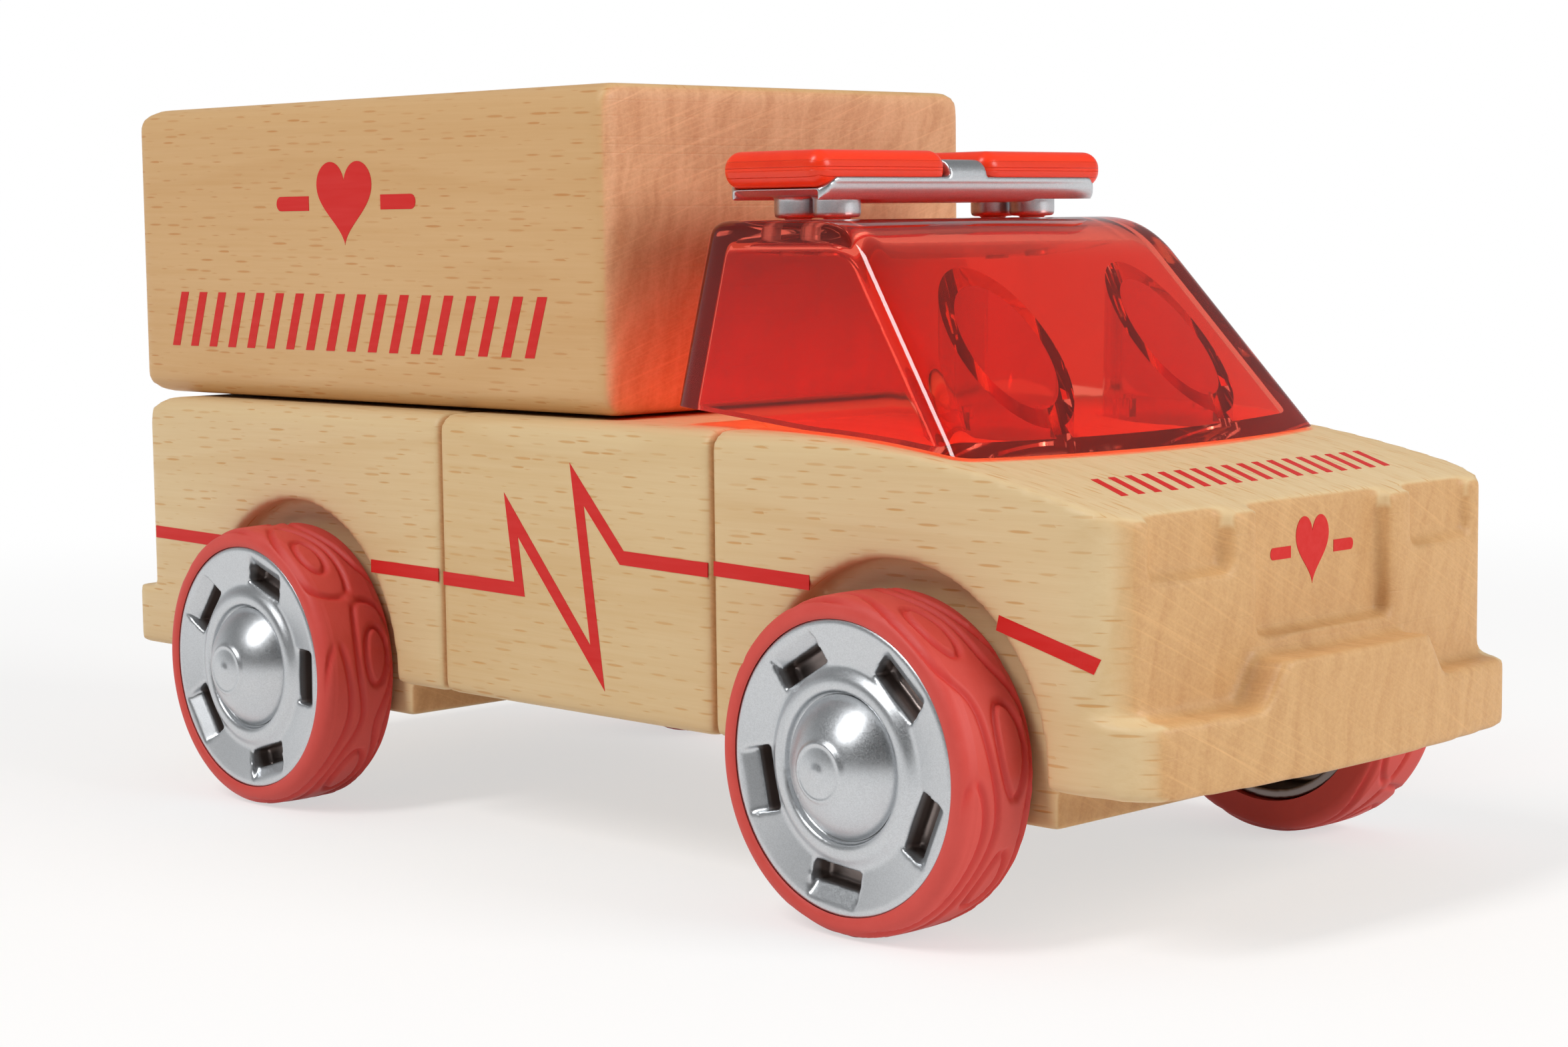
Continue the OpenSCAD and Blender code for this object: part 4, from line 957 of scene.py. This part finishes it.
def canopy_post(side, wall):
    """Points and faces of one hollow post that ends inside the windshield."""
    c = CANOPY
    lean = math.radians(c["lean"])
    axis = c["foot"] - c["bow"]
    points = []
    turns = 64
    for radius in (c["post_radius"], c["post_radius"] - c["post_wall"]):
        for high in (False, True):
            for i in range(turns):
                a = 2 * math.pi * i / turns
                x, y = c["post_x"] + radius * math.cos(a), side * c["post_y"] + radius * math.sin(a)
                reach = math.hypot(x - axis, y)
                z = BODY_TOP + (c["bow"] - wall * 0.5 / math.cos(lean) - reach) / math.tan(lean)
                points.append((x, y, z if high else c["post_foot"]))
    faces = []
    for i in range(turns):
        j = (i + 1) % turns
        faces += [[i, j, turns + j, turns + i], [2 * turns + j, 2 * turns + i, 3 * turns + i, 3 * turns + j],
                  [turns + i, turns + j, 3 * turns + j, 3 * turns + i], [j, i, 2 * turns + i, 2 * turns + j]]
    return points, faces


def post_ribs(side):
    """Points and faces of the four ribs round a post that rest on the hood."""
    c = CANOPY
    root, reach, half, height = -0.3, 0.7, 0.75, 1.5
    points, faces = [], []
    top = hood_height(c["post_x"]) + height
    for turn in range(4):
        ahead = Vector((math.cos(turn * math.pi / 2), math.sin(turn * math.pi / 2)))
        beside = Vector((-ahead.y, ahead.x))
        start = len(points)
        for high in (False, True):
            for a, b in ((root, -half), (reach, -half), (reach, half), (root, half)):
                spot = ahead * (c["post_radius"] + a) + beside * b
                x, y = c["post_x"] + spot.x, side * c["post_y"] + spot.y
                points.append((x, y, top if high else hood_height(x) + c["gap"]))
        faces += [[start + i for i in face] for face in (
            (0, 3, 2, 1), (4, 5, 6, 7), (0, 1, 5, 4), (1, 2, 6, 5), (2, 3, 7, 6), (3, 0, 4, 7))]
    return points, faces


class AMBULANCE_OT_canopy(Operator):
    """Lofts the clear red canopy with its two hollow posts"""

    bl_idname = "ambulance.canopy"
    bl_label = "Canopy"

    def execute(self, context):
        wall = sizes().canopy_wall * METRE
        plastic = finish_of("clear_red_polycarbonate", clear_red)
        shell = put("shell_work", mesh_of("canopy", *canopy_shell(wall)))
        posts = []
        for form in [canopy_post(side, wall) for side in (1, -1)] + [post_ribs(side) for side in (1, -1)]:
            post = put("post_work", mesh_of("post", *form))
            weld = shell.modifiers.new("weld", "BOOLEAN")
            weld.operation = "UNION"
            weld.solver = "EXACT"
            weld.object = post
            posts.append(post)
        mesh = baked(shell)
        for post in posts:
            bpy.data.objects.remove(post)
        mesh.shade_smooth()
        mesh.set_sharp_from_angle(angle=math.radians(40))
        add_piece("clear_canopy", mesh, "cab", plastic, ("canopy",))
        return {"FINISHED"}


def pebble(name, low, high, radius):
    """A box from low to high with every edge rounded, in metres from millimetres."""
    work = bmesh.new()
    bmesh.ops.create_cube(work, size=2.0)
    bmesh.ops.subdivide_edges(work, edges=work.edges, cuts=31, use_grid_fill=True)
    low, high = Vector(low), Vector(high)
    middle, half = (low + high) / 2, (high - low) / 2
    # Half of the mesh lines crowd into the rounded edges.
    zone = radius * 1.6

    def crowded(h, c):
        if abs(c) > 0.5:
            return math.copysign(h - zone * (1 - abs(c)) / 0.5, c)
        return math.copysign((h - zone) * abs(c) / 0.5, c)

    for v in work.verts:
        place = Vector([crowded(h, c) for h, c in zip(half, v.co)])
        core = Vector([max(radius - h, min(h - radius, c)) for h, c in zip(half, place)])
        v.co = (middle + core + (place - core).normalized() * radius) * MM
    mesh = bpy.data.meshes.new(name)
    work.to_mesh(mesh)
    work.free()
    mesh.shade_smooth()
    return mesh


class AMBULANCE_OT_light_bar(Operator):
    """Softens the light bar's tray and rounds its two lamps"""

    bl_idname = "ambulance.light_bar"
    bl_label = "Light bar"

    def execute(self, context):
        silver = finish_of("silver_metallic_paint", silver_paint)
        lamp = finish_of("orange_red_acrylic", lamp_red)
        mesh = softened("light_bar_base", step=0.00013, passes=2)
        add_piece("tray_and_feet", mesh, "light_bar", silver, ("light_bar_base",))
        rear, front, inner, outer, low, high, edge = 12.98, 23.32, 2.06, 15.85, 50.0, 52.725, 1.27
        for side, sign in SIDES.items():
            ends = sorted((sign * inner, sign * outer))
            mesh = pebble("lamp", (rear, ends[0], low), (front, ends[1], high), edge)
            add_piece("lamp_" + side, mesh, "light_bar", lamp, ("light_bar_lens_" + side,))
        return {"FINISHED"}


class AMBULANCE_OT_hidden_parts(Operator):
    """Gives the connectors, bushes, axles and dowels their materials"""

    bl_idname = "ambulance.hidden_parts"
    bl_label = "Connectors and axles"

    def execute(self, context):
        nylon = finish_of("grey_moulded_nylon", grey_nylon)
        steel = finish_of("drawn_steel", drawn_steel)
        tone = (0.96, 0.92, 0.86)
        upright = (0, math.pi / 2, 0)
        dowel = finish_of("oiled_beech_dowels", oiled_beech, (10.0, 20.0), upright, tone, tone, 0.3, 0.1)
        finishes = {"axle": steel, "box_dowels": dowel, "bush": nylon, "plug": nylon, "socket": nylon}
        for name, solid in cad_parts.items():
            for word, material in finishes.items():
                if word in name:
                    solid.data.materials.clear()
                    solid.data.materials.append(material)
        return {"FINISHED"}


def floor_finish(name):
    """White paper: matt, with the toy's soft shadow near it, and plain white towards the distance."""
    material, tree, place = start_material(name)
    shader = node(tree, "ShaderNodeBsdfPrincipled", {
        "Base Color": linear("#F4F2F0"), "Roughness": 0.9, "Specular IOR Level": 0.1})
    away = node(tree, "ShaderNodeVectorMath", (place["Object"],), operation="LENGTH")
    bright = node(tree, "ShaderNodeMapRange", (away, 0.11, 0.26, 0.6, 1.0), interpolation_type="SMOOTHSTEP")
    path = node(tree, "ShaderNodeLightPath").outputs
    seen = path["Is Camera Ray"]
    for ray in ("Is Glossy Ray", "Is Transmission Ray"):
        seen = node(tree, "ShaderNodeMath", (seen, path[ray]), operation="MAXIMUM")
    share = node(tree, "ShaderNodeMath", (seen, bright), operation="MULTIPLY")
    white = node(tree, "ShaderNodeEmission", {"Color": (1, 1, 1, 1), "Strength": 1.0})
    both = node(tree, "ShaderNodeMixShader", (share, shader, white))
    node(tree, "ShaderNodeOutputMaterial", {"Surface": both})
    return material


def light_tent(tree):
    """The world: a tent that is white behind the toy and above it, and dimmer on the near side."""
    tree.nodes.clear()
    place = node(tree, "ShaderNodeTexCoord").outputs["Generated"]
    front = node(tree, "ShaderNodeVectorMath", (place, (0.55, -0.8, -0.25)), operation="DOT_PRODUCT")
    level = node(tree, "ShaderNodeMapRange", (front, -0.35, 0.6, 0.82, 0.12), interpolation_type="SMOOTHSTEP")
    path = node(tree, "ShaderNodeLightPath").outputs
    seen = node(tree, "ShaderNodeMath", (path["Is Camera Ray"], path["Is Transmission Ray"]),
                operation="MAXIMUM")
    # Reflections show the tent as it darkens upwards.
    up = node(tree, "ShaderNodeSeparateXYZ", (place,)).outputs["Z"]
    above = node(tree, "ShaderNodeMapRange", (up, 0.0, 0.55, 0.85, 0.22), interpolation_type="SMOOTHSTEP")
    gloss = node(tree, "ShaderNodeMix", {0: path["Is Glossy Ray"], 2: 0.7, 3: above}, data_type="FLOAT")
    shade = node(tree, "ShaderNodeMath", (level, gloss), operation="MULTIPLY")
    tent = node(tree, "ShaderNodeBackground", {"Color": (0.97, 0.99, 1.0, 1), "Strength": shade})
    white = node(tree, "ShaderNodeBackground", {"Color": (1, 1, 1, 1), "Strength": 1.0})
    both = node(tree, "ShaderNodeMixShader", (seen, tent, white))
    node(tree, "ShaderNodeOutputWorld", {"Surface": both})


def soft_box(name, place, width, height, power):
    """A rectangular studio lamp that points at the toy."""
    data = bpy.data.lights.new(name, "AREA")
    data.shape = "RECTANGLE"
    data.size, data.size_y = width, height
    data.energy = power
    lamp = put(name, data)
    lamp.location = place
    lamp.rotation_mode = "QUATERNION"
    aim = Vector((0, 0, 0.03))
    lamp.rotation_quaternion = (aim - Vector(place)).to_track_quat("-Z", "Y")


class AMBULANCE_OT_stage(Operator):
    """Sets up the white floor, the soft light and the camera"""

    bl_idname = "ambulance.stage"
    bl_label = "Stage"

    def execute(self, context):
        scene = context.scene
        scene.view_settings.view_transform = "Standard"
        reach = 3000
        corners = [(-reach, -reach, 0), (reach, -reach, 0), (reach, reach, 0), (-reach, reach, 0)]
        floor = put("floor", mesh_of("floor", corners, [[0, 1, 2, 3]], False))
        floor.data.materials.append(floor_finish("white_paper"))
        world = bpy.data.worlds.new("studio")
        scene.world = world
        world.use_nodes = True
        light_tent(world.node_tree)
        soft_box("key", (-0.06, -0.62, 0.75), 0.22, 0.5, 5.2)
        soft_box("front", (0.74, 0.22, 0.4), 0.4, 0.4, 3.9)
        turn, rise, roll = (math.radians(a) for a in CAMERA_ANGLES)
        back = Vector((math.sin(turn) * math.cos(rise), -math.cos(turn) * math.cos(rise), math.sin(rise)))
        right = Vector((math.cos(turn), math.sin(turn), 0))
        up = back.cross(right)
        across = right * math.cos(roll) + up * math.sin(roll)
        above = up * math.cos(roll) - right * math.sin(roll)
        data = bpy.data.cameras.new("camera")
        data.sensor_fit = "HORIZONTAL"
        data.sensor_width = SENSOR
        data.lens = SENSOR * FOCAL_LENGTH / PHOTO_WIDTH
        data.clip_start, data.clip_end = 0.01, 20.0
        camera = put("camera", data)
        pose = Matrix((across, above, back)).transposed().to_4x4()
        pose.translation = Vector(CAMERA_PLACE) * MM
        camera.matrix_world = pose
        scene.camera = camera
        return {"FINISHED"}


class AMBULANCE_PT_panel(Panel):
    """Lists the steps that dress the toy"""

    bl_idname = "AMBULANCE_PT_panel"
    bl_label = "Wooden toy ambulance"
    bl_space_type = "VIEW_3D"
    bl_region_type = "UI"
    bl_category = "Ambulance"

    def draw(self, context):
        for step in STEPS:
            self.layout.operator(step.bl_idname)
        for group in (context.scene.ambulance_sizes, context.scene.ambulance_colours):
            for name in group.__annotations__:
                self.layout.prop(group, name)


STEPS = (
    AMBULANCE_OT_blocks,
    AMBULANCE_OT_prints,
    AMBULANCE_OT_bars,
    AMBULANCE_OT_tyres,
    AMBULANCE_OT_rims,
    AMBULANCE_OT_canopy,
    AMBULANCE_OT_light_bar,
    AMBULANCE_OT_hidden_parts,
    AMBULANCE_OT_stage,
)
CLASSES = (AmbulanceSizes, AmbulanceColours) + STEPS + (AMBULANCE_PT_panel,)


def register():
    for item in CLASSES:
        bpy.utils.register_class(item)
    bpy.types.Scene.ambulance_sizes = PointerProperty(type=AmbulanceSizes)
    bpy.types.Scene.ambulance_colours = PointerProperty(type=AmbulanceColours)


def unregister():
    del bpy.types.Scene.ambulance_colours
    del bpy.types.Scene.ambulance_sizes
    for item in reversed(CLASSES):
        bpy.utils.unregister_class(item)


def main():
    register()
    bpy.ops.ambulance.blocks()
    bpy.ops.ambulance.prints()
    bpy.ops.ambulance.bars()
    bpy.ops.ambulance.tyres()
    bpy.ops.ambulance.rims()
    bpy.ops.ambulance.canopy()
    bpy.ops.ambulance.light_bar()
    bpy.ops.ambulance.hidden_parts()
    bpy.ops.ambulance.stage()


if __name__ == "__main__":
    main()
